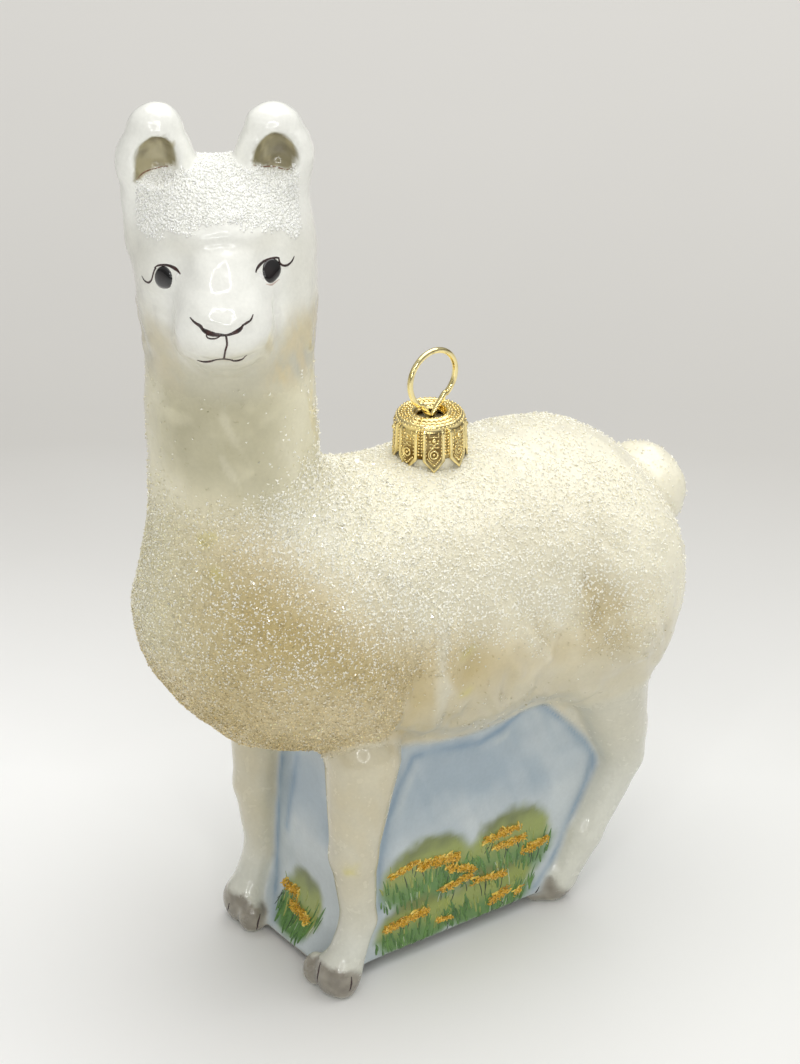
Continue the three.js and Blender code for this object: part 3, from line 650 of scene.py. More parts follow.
def paint(p):
    """Colour of the lacquer at each point of the skin, with painted shade on the face and at the tops of the
    ear hollows.
    """
    x, y, z = p.T
    head, web, leg = regions(p)
    u, v, w = to_head(x, y, z)
    side = np.abs(u)
    mottled = fractal(p, 6.0)
    # Painted shade on the face: under the jaw, on the temples and in the eye sockets.
    under_jaw_shade = 0.75 * fade(-1.5, -5.5, w + 0.4 * noise(p, 3.0))
    temple_shade = 0.3 * fade(6.0, 9.0, side) * fade(9, 5, w)
    eye_socket_shade = 0.28 * near(columns(side, v, w), (5.5, 8.5, 7.4), (6.5, 4.0, 2.4))
    cheek = fade(0, -6, w) * fade(13, 8, v) * fade(-5, 0, v) * fade(2, 7, side)
    streaks = fade(-0.35, 0.4, fractal(p @ NECK_FLOW.T, (4.0, 1.2, 3.0)))
    shin = fade(8, 20, z + 3 * mottled) * fade(4, -12, y)
    above_shin = 0.1 + 0.7 * fade(20, 30, z) + 0.5 * streaks
    hind = fade(15, 28, z) * fade(4, 12, y)
    fore = (0.3 + 0.35 * shin) * fade(7, 11, z) * fade(4, -8, y)
    hollow = hollow_mask(p)
    bands = fade(-0.1, 0.5, noise(p @ NECK_FLOW.T, (4.0, 0.9, 1.0)))
    # Random smudges, and painted shadow along the top of each ear hollow under its rim.
    smudges_and_rim_shadow = fade(0.0, 0.6, fractal(p + 33, 1.6)) + fade(16.8, 18.2, w + 0.4 * noise(p, 1.0))
    crooked = p + 0.8 * noise(p, 1.3)[:, None]
    toes = layered(
        plain(TOE_GREY, p), (TOE_DARK, 0.5 + 0.9 * fractal(p, 1.6)),
        (LEG_WHITE, 0.7 * fade(0.75, 0.3, z)))
    return layered(
        paint_fleece(p),
        (ENAMEL_WHITE, head * fade(-6.5, -1.5, w + 0.35 * v)),
        (FACE_SHADE, head * (under_jaw_shade + temple_shade + eye_socket_shade)),
        (WARM_BEIGE, head * cheek * streaks * np.where(u > 0, 0.8, 0.4)),
        (LEG_WHITE, leg),
        (WARM_BEIGE, 0.6 * leg * shin * above_shin),
        (FLANK_TONE, 0.5 * leg * hind),
        (FLANK_TONE, leg * fore),
        (HOLLOW_GREY, hollow),
        (HOLLOW_BEIGE, 0.6 * bands * hollow),
        (HOLLOW_DARK, 0.45 * smudges_and_rim_shadow * hollow),
        *((STAIN, 0.55 * near(crooked, at, (1.5, 1.5, 1.3))) for at in STAINS),
        (paint_meadow(p), web),
        (toes, toe_mask(p) * (1 - 0.6 * web)))


def glitter_cover(p):
    """Share of the fleece that the glitter covers, from 0 to 1."""
    x, y, z = p.T
    bare = 1 - np.array(regions(p))
    upper = 76 + 0.32 * (y + 30) + 2.5 * noise(p, 4.0)
    below_neck = fade(upper + 5, upper - 6, z)
    lower = np.interp(y, *GLITTER_LEVEL)
    above_belly = fade(lower - 2.5, lower + 5, z + 2.5 * noise(p, 5.0))
    above_belly = np.maximum(above_belly, fade(-17, -24, y))
    rump = 1 - 0.85 * fade(20, 30, y + 4 * noise(p, 6.0))
    back = 1 - 0.5 * fade(60, 65, z) * fade(6, 14, y)
    neck_sparse = 0.05 * fade(96, 88, z) * fade(0.35, 0.8, 0.5 + fractal(p, 9.0))
    return np.maximum(below_neck * above_belly * rump * back, neck_sparse) * bare.prod(0)


# ---- Objects -----------------------------------------------------------------------------

def place(name, data):
    """A new object of the scene with this data."""
    made = bpy.data.objects.new(name, data)
    bpy.context.collection.objects.link(made)
    return made


def make_object(name, points, faces, material, slot, smooth=True):
    """A piece from points in millimetres and faces that all have the same number of corners."""
    faces = np.asarray(faces)
    mesh = bpy.data.meshes.new(name)
    mesh.vertices.add(len(points))
    mesh.vertices.foreach_set("co", (np.asarray(points) * MM).astype(np.float32).ravel())
    corners = faces.shape[1]
    mesh.loops.add(faces.size)
    mesh.loops.foreach_set("vertex_index", faces.astype(np.int32).ravel())
    mesh.polygons.add(len(faces))
    mesh.polygons.foreach_set("loop_start", np.arange(0, faces.size, corners, dtype=np.int32))
    mesh.polygons.foreach_set("use_smooth", np.full(len(faces), smooth))
    mesh.update(calc_edges=True)
    mesh.validate()
    mesh.materials.append(material)
    piece = place(name, mesh)
    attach(piece, "root")
    return piece


def add_colour(piece, name, colour):
    data = piece.data.attributes.new(name, "FLOAT_COLOR", "POINT").data
    data.foreach_set("color", columns(colour, np.ones(len(colour))).astype(np.float32).ravel())


def add_value(piece, name, value):
    data = piece.data.attributes.new(name, "FLOAT", "POINT").data
    data.foreach_set("value", np.asarray(value, np.float32))


class Shape:
    """Collects quads or triangles that end up in one mesh."""

    def __init__(self):
        self.points, self.faces, self.count = [], [], 0

    def add(self, points, faces):
        self.points.append(np.asarray(points, float))
        self.faces.append(np.asarray(faces) + self.count)
        self.count += len(points)

    def build(self, name, material, slot):
        points, faces = np.concatenate(self.points), np.concatenate(self.faces)
        return make_object(name, points, faces, material, slot)


def through(points, count):
    """Even steps along a smooth curve through the points."""
    points = np.asarray(points, float)
    ends = np.vstack([2 * points[0] - points[1], points, 2 * points[-1] - points[-2]])
    s = np.linspace(0, len(points) - 1, 12 * len(points))
    i = np.minimum(s.astype(int), len(points) - 2)
    t = (s - i)[:, None]
    a, b, c, d = (ends[i + k] for k in range(4))
    dense = 0.5 * (2 * b + (c - a) * t + (2 * a - 5 * b + 4 * c - d) * t**2 + (3 * b - a - 3 * c + d) * t**3)
    length = np.concatenate([[0], np.cumsum(np.linalg.norm(np.diff(dense, axis=0), axis=1))])
    where = np.linspace(0, length[-1], count)
    return np.column_stack([np.interp(where, length, dense[:, k]) for k in range(dense.shape[1])])


def circle(count):
    """Angles of equal steps round a circle."""
    return np.arange(count) * 2 * math.pi / count


def ring_faces(rows, around, capped=True):
    """Quads between rows of points; each row is a loop. Ends are closed with quads across the loop."""
    i = np.arange(rows - 1)[:, None] * around
    j = np.arange(around)[None, :]
    k = (j + 1) % around
    quads = np.stack([i + j, i + k, i + around + k, i + around + j], axis=-1).reshape(-1, 4)
    if not capped:
        return quads
    n = np.arange(around // 2 - 1)
    cap = columns(n, n + 1, around - 2 - n, around - 1 - n)
    return np.concatenate([quads, cap[:, ::-1], cap + (rows - 1) * around])


STROKE_SECTION = np.array([
    (-1, -0.25), (-0.55, 0.8), (0, 1.0), (0.55, 0.8), (1, -0.25), (0.6, -1.0), (0, -1.0), (-0.6, -1.0)])
STROKE_STEP = 0.22
FULL_HALF_WIDTH = 0.12


def path_length(path):
    return np.linalg.norm(np.diff(np.asarray(path, float), axis=0), axis=1).sum()


def lay_strokes(name, strokes, material, slot, lift):
    """Brush strokes: thin raised ribbons along paths on the skin. A stroke is a path and its half widths."""
    around = len(STROKE_SECTION)
    steps = [max(4, int(path_length(path) / STROKE_STEP) + 2) for path, _ in strokes]
    paths = [through(path, n) for (path, _), n in zip(strokes, steps)]
    half = np.concatenate([
        np.interp(np.linspace(0, len(given) - 1, n), np.arange(len(given)), given)
        for (_, given), n in zip(strokes, steps)])
    middle, normal = settle(np.concatenate(paths))
    start = np.cumsum([0] + steps)
    tangent = np.concatenate([np.gradient(middle[a:b], axis=0) for a, b in zip(start, start[1:])])
    side = unit(np.cross(normal, tangent))
    spread = middle[:, None] + side[:, None] * (STROKE_SECTION[:, 0][None, :, None] * half[:, None, None])
    flat, up = settle(spread.reshape(-1, 3), passes=2)
    thick = lift * np.clip(half / FULL_HALF_WIDTH, 0.4, 1)
    points = flat + up * np.outer(thick, STROKE_SECTION[:, 1]).reshape(-1, 1)
    shape = Shape()
    for a, b in zip(start, start[1:]):
        shape.add(points[a * around:b * around], ring_faces(b - a, around)[:, ::-1])
    return shape.build(name, material, slot)


def face_dome(middle, across, up, lift, rings=7, around=28):
    """A low enamel dome on the face: an oval given by its half axes, a little flat on top."""
    angle = circle(around)
    radius = np.linspace(1.0, 0.02, rings)[:, None, None]
    rise = np.where(np.sin(angle) > 0, 0.88, 1.0) * np.sin(angle)
    outline = np.cos(angle)[:, None] * np.array(across) + rise[:, None] * np.array(up)
    at = (np.array(middle) + radius * outline[None]).reshape(-1, 2)
    p, normal = settle(drop_on_face(at[:, 0], at[:, 1]), passes=2)
    height = np.repeat(lift * np.sqrt(np.clip(1 - radius[:, 0, 0] ** 2, 0, 1)), around)
    top = p + normal * height[:, None]
    under = (p - 0.12 * normal)[:around]
    inner = 0.98 * under.mean(0) + 0.02 * under
    return np.vstack([inner, under, top]), ring_faces(rings + 2, around)


def bead(at, radius, squash=1.0):
    """A small ball of quads with closed poles."""
    rows, around = 5, 8
    lat = np.linspace(-0.94, 0.94, rows)[:, None] * math.pi / 2
    lon = circle(around)
    x, y, z = np.broadcast_arrays(np.cos(lat) * np.cos(lon), np.cos(lat) * np.sin(lon), np.sin(lat))
    ball = radius * columns(x.ravel(), y.ravel(), squash * z.ravel())
    return ball + at, ring_faces(rows, around)


def tube(path, radius, around):
    """A round wire along a path."""
    path = np.asarray(path, float)
    tangent = unit(np.gradient(path, axis=0))
    side = np.cross(tangent[0], (0.31, 0.23, 0.92))
    sides = []
    for t in tangent:
        side = side - t * (side @ t)
        side = side / np.linalg.norm(side)
        sides.append(side)
    third = np.cross(tangent, sides)
    angle = circle(around)[None, :, None]
    ring = radius * (np.cos(angle) * np.array(sides)[:, None] + np.sin(angle) * third[:, None])
    return (path[:, None] + ring).reshape(-1, 3), ring_faces(len(path), around)


# ---- Glitter -----------------------------------------------------------------------------

def unwrap(p, normal):
    """Place of each point on six flat views of the skin, side by side."""
    axis = np.abs(normal).argmax(1)
    sign = (normal[np.arange(len(p)), axis] > 0).astype(int)
    low, high = np.array([-25.0, -45, -2]), np.array([25.0, 45, 126])
    q = 0.02 + 0.96 * (p - low) / (high - low)
    along = np.where(axis == 0, q[:, 1], q[:, 0])
    up = np.where(axis == 2, q[:, 1], q[:, 2])
    return columns((axis + along) / 3, (sign + up) / 2)


def scatter(skin, density, rng):
    """Random points of the skin, as many for each square millimetre as the density function says."""
    corners = skin["points"][skin["quads"]]
    middle = corners.mean(1)
    cross = np.cross(corners[:, 2] - corners[:, 0], corners[:, 3] - corners[:, 1])
    area = np.linalg.norm(cross, axis=1) / 2
    wanted = area * density(middle)
    count = rng.poisson(wanted)
    quad = np.repeat(np.arange(len(count)), count)
    s, t = rng.random((2, len(quad), 1))
    weights = [(1 - s) * (1 - t), s * (1 - t), s * t, (1 - s) * t]
    p = sum(weight * corners[quad, i] for i, weight in enumerate(weights))
    normals = skin["normals"][skin["quads"][quad]]
    n = sum(weight * normals[:, i] for i, weight in enumerate(weights))
    return p, unit(n)


PATCH = 0.0002 * np.array([(-7, -6), (7, -6), (0, 7), (0, -1), (-3, 3), (3, 0)])  # of OFBake, for one grain
CRYSTAL = np.array([(0, 2, 1), (0, 1, 3), (1, 2, 3), (2, 0, 3)])
GRANULE = np.array([(0, 1, 4), (1, 2, 4), (2, 3, 4), (3, 0, 4), (1, 0, 5), (2, 1, 5), (3, 2, 5), (0, 3, 5)])
MOST_TRIANGLES = 190000


def leaning_frames(normal, tilt, rng):
    """Three directions for each grain: its own up, which leans at random, and two across it."""
    up = unit(normal + 0.6 * tilt * rng.normal(size=normal.shape))
    side = unit(np.cross(up, rng.normal(size=normal.shape)))
    return up, side, np.cross(up, side)


def crystals(p, normal, size, rng, tilt, height, lift):
    """Corners of low three-sided crystals."""
    n = len(p)
    up, side, third = leaning_frames(normal, tilt, rng)
    turn = circle(3) + rng.uniform(-0.5, 0.5, (n, 3))
    reach = size[:, None] * rng.uniform(0.42, 0.68, (n, 3))
    base = np.cos(turn)[..., None] * side[:, None] + np.sin(turn)[..., None] * third[:, None]
    base = base * reach[..., None]
    apex = (up * (height * size * rng.uniform(0.7, 1.3, n))[:, None])[:, None]
    raised = lift + 0.3 * size * np.linalg.norm(up - normal, axis=1)
    return (p + normal * raised[:, None])[:, None] + np.concatenate([base, apex], axis=1)


def granules(p, normal, size, rng, tilt, height, lift):
    """Corners of rounded eight-sided granules."""
    up, side, third = leaning_frames(normal, tilt, rng)
    corners = np.stack([side, third, -side, -third, up, -up * height], axis=1) * (size / 2)[:, None, None]
    middle = p + normal * (lift + 0.12 * size)[:, None]
    return middle[:, None] + corners * rng.uniform(0.8, 1.2, (len(p), 1, 3))


def grains(name, points, faces, p, normal, colour, shine, material, slot, smooth=False):
    """Glitter from the corners of all its grains, in meshes of a moderate size."""
    n, corners = points.shape[:2]
    uv = unwrap(p, normal)
    most = MOST_TRIANGLES // len(faces)
    for part, start in enumerate(range(0, n, most)):
        take = slice(start, min(start + most, n))
        all_faces = (np.arange(take.stop - start)[:, None, None] * corners + faces[None]).reshape(-1, 3)
        all_points = points[take].reshape(-1, 3)
        piece = make_object(f"{name}_{part + 1}", all_points, all_faces, material, slot, smooth)
        add_colour(piece, "paint", np.repeat(colour[take], corners, axis=0))
        add_value(piece, "shine", np.repeat(shine[take], corners))
        layer = piece.data.uv_layers.new(name="OFBake")
        patches = uv[take][:, None, None] + PATCH[faces][None]
        layer.data.foreach_set("uv", patches.astype(np.float32).ravel())


# ---- Materials ---------------------------------------------------------------------------

class Paint:
    """A Principled material with its node tree at hand."""

    def __init__(self, name, **settings):
        self.material = bpy.data.materials.new(name)
        self.material.use_nodes = True
        self.tree = self.material.node_tree
        self.shader = self.tree.nodes["Principled BSDF"]
        for key, value in settings.items():
            self.put(self.shader.inputs[key.replace("_", " ")], value)
        self.place = self.tree.nodes.new("ShaderNodeTexCoord").outputs["Object"]

    def node(self, kind, inputs=None, **properties):
        made = self.tree.nodes.new(kind)
        for key, value in properties.items():
            setattr(made, key, value)
        for key, value in (inputs or {}).items():
            self.put(made.inputs[key], value)
        return made

    def put(self, socket, value):
        if isinstance(value, bpy.types.NodeSocket):
            self.tree.links.new(value, socket)
        else:
            socket.default_value = (*value, 1) if socket.type == "RGBA" else value

    def math(self, operation, a, b):
        return self.node("ShaderNodeMath", {0: a, 1: b}, operation=operation).outputs[0]

    def along(self, direction):
        """How far each point lies in a direction."""
        inputs = {0: self.place, 1: direction}
        return self.node("ShaderNodeVectorMath", inputs, operation="DOT_PRODUCT").outputs["Value"]

    def attribute(self, name, output="Color"):
        return self.node("ShaderNodeAttribute", attribute_name=name).outputs[output]

    def noise(self, per_mm, detail=3.0, roughness=0.5, vector=None):
        inputs = {"Scale": per_mm / MM, "Detail": detail, "Roughness": roughness}
        return self.node("ShaderNodeTexNoise", {"Vector": vector or self.place, **inputs}).outputs["Fac"]

    def stretched(self, scale):
        return self.node("ShaderNodeMapping", {"Vector": self.place, "Scale": scale}).outputs["Vector"]

    def ramp(self, value, low, high, start=0.3, end=0.7):
        inputs = {0: value, 1: start, 2: end, 3: low, 4: high}
        return self.node("ShaderNodeMapRange", inputs).outputs["Result"]

    def mix(self, a, b, factor, blend="MIX"):
        made = self.node("ShaderNodeMix", data_type="RGBA", blend_type=blend)
        self.put(made.inputs[0], factor)
        self.put(made.inputs[6], a)
        self.put(made.inputs[7], b)
        return made.outputs[2]

    def scaled(self, colour, factor):
        """The colour made lighter or darker by a factor that varies."""
        return self.node("ShaderNodeVectorMath", {0: colour, "Scale": factor}, operation="SCALE").outputs[0]

    def bump(self, height, distance, strength=1.0, normal=None):
        inputs = {"Height": height, "Distance": distance * MM, "Strength": strength}
        if normal is not None:
            inputs["Normal"] = normal
        return self.node("ShaderNodeBump", inputs).outputs["Normal"]

    def finish(self, **values):
        """Sets or links what the shader reads, each value by the name of its socket."""
        for key, value in values.items():
            self.put(self.shader.inputs[key.replace("_", " ")], value)
        return self.material


def lacquer_material():
    """Opaque lacquer over glass: painted colour, soft pearl mottling and a clear gloss."""
    m = Paint("lacquer_paint", Coat_Weight=0.5, Coat_Roughness=0.04, IOR=1.5)
    mottled = m.math("MULTIPLY", m.ramp(m.noise(0.25, 4), 0.96, 1.03), m.ramp(m.noise(2.2, 3), 0.97, 1.02))
    colour = m.scaled(m.attribute("paint"), mottled)
    rough = m.math("MULTIPLY", m.attribute("gloss", "Fac"), m.ramp(m.noise(0.8, 3), 0.85, 1.2))
    crystals = m.node("ShaderNodeTexVoronoi", {"Vector": m.place, "Scale": 4.2 / MM}).outputs["Distance"]
    gritty = m.bump(m.math("MULTIPLY", crystals, m.attribute("grit", "Fac")), 0.12, 0.8)
    return m.finish(Base_Color=colour, Roughness=rough, Normal=m.bump(m.noise(0.65, 2), 0.13, 0.6, gritty))


def glitter_material(name):
    """Glass glitter: each crystal has a shade and a shine of its own."""
    m = Paint(name, IOR=1.55)
    colour = m.scaled(m.attribute("paint"), m.ramp(m.noise(3.0, 2), 0.93, 1.07))
    shine = m.attribute("shine", "Fac")
    rough = m.ramp(shine, 0.55, 0.08, 0.0, 1.0)
    return m.finish(Base_Color=colour, Roughness=rough, Metallic=m.ramp(shine, 0.0, 0.8, 0.92, 1.0))


def enamel_material(name, dark, light, roughness=0.2, coat=0.4, streak=(2.0, 2.0, 0.6), raised=0.03):
    """Brushed enamel: streaks between two tones, a little raised."""
    m = Paint(name, Coat_Weight=coat, Coat_Roughness=0.06)
    streaks = m.noise(1.0, 4, 0.6, m.stretched(streak))
    colour = m.mix(dark, light, m.ramp(streaks, 0, 1, 0.35, 0.65))
    rough = m.ramp(m.noise(1.5, 3), roughness * 0.8, roughness * 1.3)
    return m.finish(Base_Color=colour, Roughness=rough, Normal=m.bump(streaks, raised, 0.5))


def gold_material(name, tone, dark, roughness, stamped=False):
    """Gold-coloured metal with darker tarnish in patches, painted shade in stamped recesses, and fine scuffs.
    """
    m = Paint(name, Metallic=1.0)
    tarnish_and_recess_shade = m.ramp(m.noise(0.7, 4), 0.0, 0.5, 0.5, 0.75)
    if stamped:
        # Painted shade: darker in the stamped recesses and inside the skirt.
        recess = m.math("MULTIPLY", m.attribute("recess", "Fac"), m.ramp(m.noise(0.25, 2), 0.35, 1.0))
        tarnish_and_recess_shade = m.math("MAXIMUM", tarnish_and_recess_shade, recess)
    scuffs = m.noise(3.0, 5, 0.6, m.stretched((1, 1, 4)))
    rough = m.ramp(scuffs, roughness * 0.7, roughness * 1.5)
    return m.finish(Base_Color=m.mix(tone, dark, tarnish_and_recess_shade), Roughness=rough, Normal=m.bump(scuffs, 0.01, 0.6))


# ---- Skin --------------------------------------------------------------------------------

LACQUER = lacquer_material()
CELL = 0.46
SKIN_BOX = ((-22.0, -43.0, -1.0), (22.0, 43.0, 123.5))
points, quads = surface_net(CELL, *SKIN_BOX)
points, normals = settle(points)
skin = {"points": points, "quads": quads, "normals": normals}
skin_piece = make_object("figure_skin", points, quads, LACQUER, "fleece_lacquer")
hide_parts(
    "trunk", "tail", "neck", "head", "ear_left", "ear_right", "leg_front_left", "leg_front_right",
    "leg_hind_left", "leg_hind_right", "foot_front_left", "foot_front_right", "foot_hind_left",
    "foot_hind_right", "meadow_web")
head_share, web_share, leg_share = regions(points)
cover = glitter_cover(points)
add_colour(skin_piece, "paint", paint(points))
add_value(skin_piece, "gloss", 0.32 - 0.17 * head_share - 0.1 * web_share - 0.08 * leg_share + 0.15 * cover)
add_value(skin_piece, "grit", np.clip(cover + 0.4 * tuft_mask(points), 0, 1))

# ---- Glitter on the fleece ---------------------------------------------------------------

GLITTER = glitter_material("glass_glitter")
SHARE = 1.0
GRAINS_PER_MM2, MORE_ON_CHEST, GRANULES_PER_MM2 = 8.5, 6.5, 24.0


def fleece_density(p):
    chest = fade(-4, -16, p[:, 1]) * fade(78, 68, p[:, 2])
    return SHARE * glitter_cover(p) * (GRAINS_PER_MM2 + MORE_ON_CHEST * chest)


rng = np.random.default_rng(11)
p, n = scatter(skin, fleece_density, rng)
base = paint(p)
low_chest = fade(56, 44, p[:, 2]) * fade(-6, -16, p[:, 1])
shoulder = shoulder_share(p)
clusters = 0.3 * fractal(p + 50, 6.0) - 0.14 * fade(8, 0, p[:, 0]) * fade(-30, -36, p[:, 1])
white = rng.random(len(p)) < 0.42 + 0.33 * shoulder - 0.27 * low_chest + clusters
spread = 0.15 + 0.06 * low_chest - 0.1 * shoulder
tone = np.clip(base * np.exp(rng.normal(0.0, 1.0, len(p)) * spread + 0.04)[:, None], 0, 1)
tone = mix(tone, GLITTER_WHITE, 0.03 + white * (0.88 - 0.38 * low_chest))
large, small = rng.uniform(0.22, 0.4, len(p)), rng.uniform(0.18, 0.34, len(p))
size = np.where(white, large * (1 + 0.25 * shoulder), small)
shine = np.where(white, rng.uniform(0.5, 1.0, len(p)) * (1 - 0.1 * low_chest), rng.uniform(0.0, 0.6, len(p)))
shine = shine * (1 - 0.2 * fade(-8, 2, p[:, 1]))
corners = crystals(p, n, size, rng, tilt=0.75, height=0.25, lift=0.02)
grains("fleece_glitter", corners, CRYSTAL, p, n, tone, shine, GLITTER, "fleece_lacquer")

# ---- Granules on the forehead tuft -------------------------------------------------------

p, n = scatter(skin, lambda q: SHARE * GRANULES_PER_MM2 * tuft_mask(q), rng)
stack = rng.uniform(0, 0.1, len(p)) * fade(0.2, 0.9, tuft_mask(p))
bright = rng.random(len(p)) < 0.05
tone = np.clip(rng.normal(1.0, 0.02, (len(p), 1)) * GRANULE_WHITE, 0, 1)
shine = np.where(bright, 0.95, rng.uniform(0.3, 0.7, len(p)))
size = rng.uniform(0.26, 0.46, len(p))
corners = granules(p + n * stack[:, None], n, size, rng, tilt=0.5, height=0.8, lift=-0.07)
grains("tuft_granules", corners, GRANULE, p, n, tone, shine, GLITTER, "face_lacquer", smooth=True)

# ---- Painted face ------------------------------------------------------------------------

INK = enamel_material("ink_brown", srgb(30, 14, 12), srgb(66, 34, 30), 0.25)
EYE_ENAMEL = enamel_material("eye_enamel", srgb(8, 8, 9), srgb(26, 17, 17), 0.06, 0.6, (0.6, 0.6, 0.6), 0.004)


def draw_on_face(name, lines, material, slot, lift=0.05):
    paths = [(drop_on_face(*np.array(path).T), half) for path, half in lines]
    lay_strokes(name, paths, material, slot, lift)


EYES = {  # place across and up the face, and the two half axes of the oval
    "left": ((6.0, 4.25), (0.99, -0.24), (0.06, 1.42)),
    "right": ((-6.91, 3.19), (0.92, 0.32), (0.03, 1.6)),
}
for side, (middle, across, up) in EYES.items():
    eye = make_object(f"eye_enamel_{side}", *face_dome(middle, across, up, 0.3), EYE_ENAMEL, "black_enamel")
    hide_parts(f"eye_{side}")

FACE_LINES = [  # lids, lashes, nostrils, lip and mouth: path across and up the face, half widths
    ([(-7.78, 4.07), (-7.36, 4.51), (-6.62, 4.8), (-6.0, 4.85), (-5.53, 4.75), (-5.17, 4.45)],
     (0.1, 0.14, 0.15, 0.2, 0.27, 0.08)),
    ([(-9.21, 2.1), (-8.92, 1.72), (-8.51, 1.74), (-8.18, 2.37), (-7.86, 3.62), (-7.66, 4.12)],
     (0.05, 0.13, 0.15, 0.13, 0.12, 0.14)),
    ([(3.95, 4.73), (4.2, 5.05), (4.89, 5.3), (5.57, 5.45), (6.48, 5.42), (6.85, 5.25)],
     (0.12, 0.25, 0.24, 0.18, 0.15, 0.12)),
    ([(6.79, 5.3), (6.88, 4.78), (7.23, 4.36), (7.7, 4.2), (8.17, 4.35), (8.61, 4.84)],
     (0.12, 0.14, 0.16, 0.17, 0.13, 0.05)),
    ([(-4.06, 0.6), (-3.43, 0.13), (-2.45, -0.51), (-1.44, -0.89), (-0.19, -1.0)],
     (0.08, 0.2, 0.38, 0.3, 0.16)),
    ([(-0.3, -1.0), (0.3, -0.92), (1.33, -0.55), (2.4, -0.1), (2.9, 0.43), (3.11, 0.9)],
     (0.14, 0.2, 0.32, 0.3, 0.17, 0.07)),
    ([(-2.34, -0.75), (-2.2, -1.35), (-1.3, -1.42), (-0.65, -1.02)], (0.08, 0.11, 0.11, 0.08)),
    ([(-0.07, -1.0), (0.02, -2.2), (-0.2, -3.2), (-0.33, -4.4)], (0.15, 0.14, 0.14, 0.14)),
    ([(-3.4, -5.2), (-2.4, -5.15), (-1.2, -4.75), (-0.2, -4.5), (0.84, -5.05), (1.8, -5.05), (2.45, -4.5)],
     (0.06, 0.17, 0.18, 0.18, 0.18, 0.17, 0.07)),
]
EYE_CORNERS = [
    ([(4.35, 4.75), (4.75, 4.35), (5.0, 3.85)], (0.1, 0.34, 0.26)),
    ([(-5.3, 4.5), (-5.5, 4.1), (-5.6, 3.5)], (0.08, 0.22, 0.1)),
]
LOWER_LIDS = [([(5.15, 3.1), (5.95, 2.62), (6.85, 2.8)], (0.05, 0.14, 0.05))]
EAR_LINES = [
    ([(-9.4, 13.5), (-8.4, 13.75), (-7.2, 13.95), (-6.0, 14.2), (-4.8, 14.7)], (0.04, 0.1, 0.12, 0.1, 0.04)),
    ([(4.3, 14.7), (5.6, 13.9), (6.8, 13.7), (8.2, 13.5), (9.0, 14.2)], (0.04, 0.1, 0.12, 0.1, 0.04)),
]
SCLERA = enamel_material("eye_white", srgb(236, 234, 228), srgb(250, 249, 246), 0.12)
PINK = enamel_material("lid_pink", srgb(200, 176, 164), srgb(226, 208, 198), 0.2)
RIM_BROWN = enamel_material("ear_line_brown", srgb(120, 84, 64), srgb(160, 126, 98), 0.3)
draw_on_face("face_lines", FACE_LINES, INK, "black_enamel", lift=0.08)
draw_on_face("eye_corner", EYE_CORNERS, SCLERA, "face_lacquer")
draw_on_face("lower_lids", LOWER_LIDS, PINK, "face_lacquer")
draw_on_face("ear_lines", EAR_LINES, RIM_BROWN, "face_lacquer")
TOE_LINES = [
    ([(10.0, -23.6, 4.7), (10.3, -24.1, 3.6), (10.2, -24.2, 2.6), (9.9, -24.2, 1.7)],
     (0.06, 0.17, 0.15, 0.06)),
    ([(13.9, -21.5, 3.8), (14.0, -21.6, 2.8), (13.9, -21.8, 1.7)], (0.06, 0.16, 0.06)),
    ([(-10.3, -24.3, 3.2), (-10.5, -24.4, 2.4), (-11.1, -24.1, 1.5)], (0.06, 0.14, 0.05)),
    ([(-5.8, -22.3, 3.1), (-5.7, -22.8, 2.0), (-6.2, -22.8, 0.7)], (0.06, 0.15, 0.06)),
    ([(10.9, 11.6, 3.2), (10.9, 11.0, 2.2)], (0.05, 0.12)),
    ([(-10.9, 11.6, 3.2), (-10.9, 11.0, 2.2)], (0.05, 0.12)),
]
lay_strokes("toe_lines", TOE_LINES, INK, "black_enamel", lift=0.06)

# ---- Brushed meadow ----------------------------------------------------------------------

def blades(rng, clump, count, reach, half, on, low):
    """Upright brush strokes that fan out from the foot of a clump."""
    middle, level, half_length, half_height = clump
    strokes = []
    for _ in range(count):
        place = rng.uniform(-0.92, 0.92)
        foot = middle + place * half_length
        arch = math.sqrt(1 - 0.8 * place * place)
        bottom = level + half_height * arch * rng.uniform(*low)
        length = rng.uniform(*reach) * (0.6 + 0.4 * arch)
        lean = 0.35 * place + rng.normal(0, 0.16)
        path = [(foot + lean * length * t**1.6, max(bottom + length * t, 1.1)) for t in (0, 0.35, 0.7, 1)]
        width = rng.uniform(*half)
        strokes.append((on(np.array(path)), (0.6 * width, width, 0.75 * width, 0.04)))
    return strokes


def on_side(side):
    """Takes places along and up to one side of the web."""
    return lambda path: columns(np.full(len(path), side * (WEB_HALF_WIDTH + 0.1)), *path.T)


def on_front(path):
    ahead = np.minimum(WEB_FRONT, WEB_LIP[0] + WEB_LIP[1] * (path[:, 1] - WEB_BOTTOM))
    return np.column_stack([path[:, 0], ahead, path[:, 1]])


STROKES = {  # brush: two tones, number on a clump of average size, length, half width, reach up the clump
    "grass_green": (srgb(60, 102, 44), srgb(100, 144, 64), 52, (1.2, 3.0), (0.14, 0.28), (-1.0, -0.2)),
    "grass_light": (srgb(128, 144, 64), srgb(172, 180, 94), 18, (0.9, 2.4), (0.1, 0.2), (-0.6, 0.3)),
    "grass_white": (srgb(176, 196, 166), srgb(214, 222, 200), 4, (1.4, 3.0), (0.04, 0.08), (-1.0, -0.6)),
}
rng = np.random.default_rng(31)
PLACES = [(clump, on_side(side)) for side in (1, -1) for clump in SIDE_TUFTS] + [(FRONT_TUFT, on_front)]
for brush, (dark, light, count, reach, half, low) in STROKES.items():
    strokes = []
    for clump, on in PLACES:
        number = max(3, int(count * clump[2] / 7))
        strokes += blades(rng, clump, number, reach, half, on, low)
    lay_strokes(brush, strokes, enamel_material(brush, dark, light, 0.3), "meadow_paint", lift=0.05)

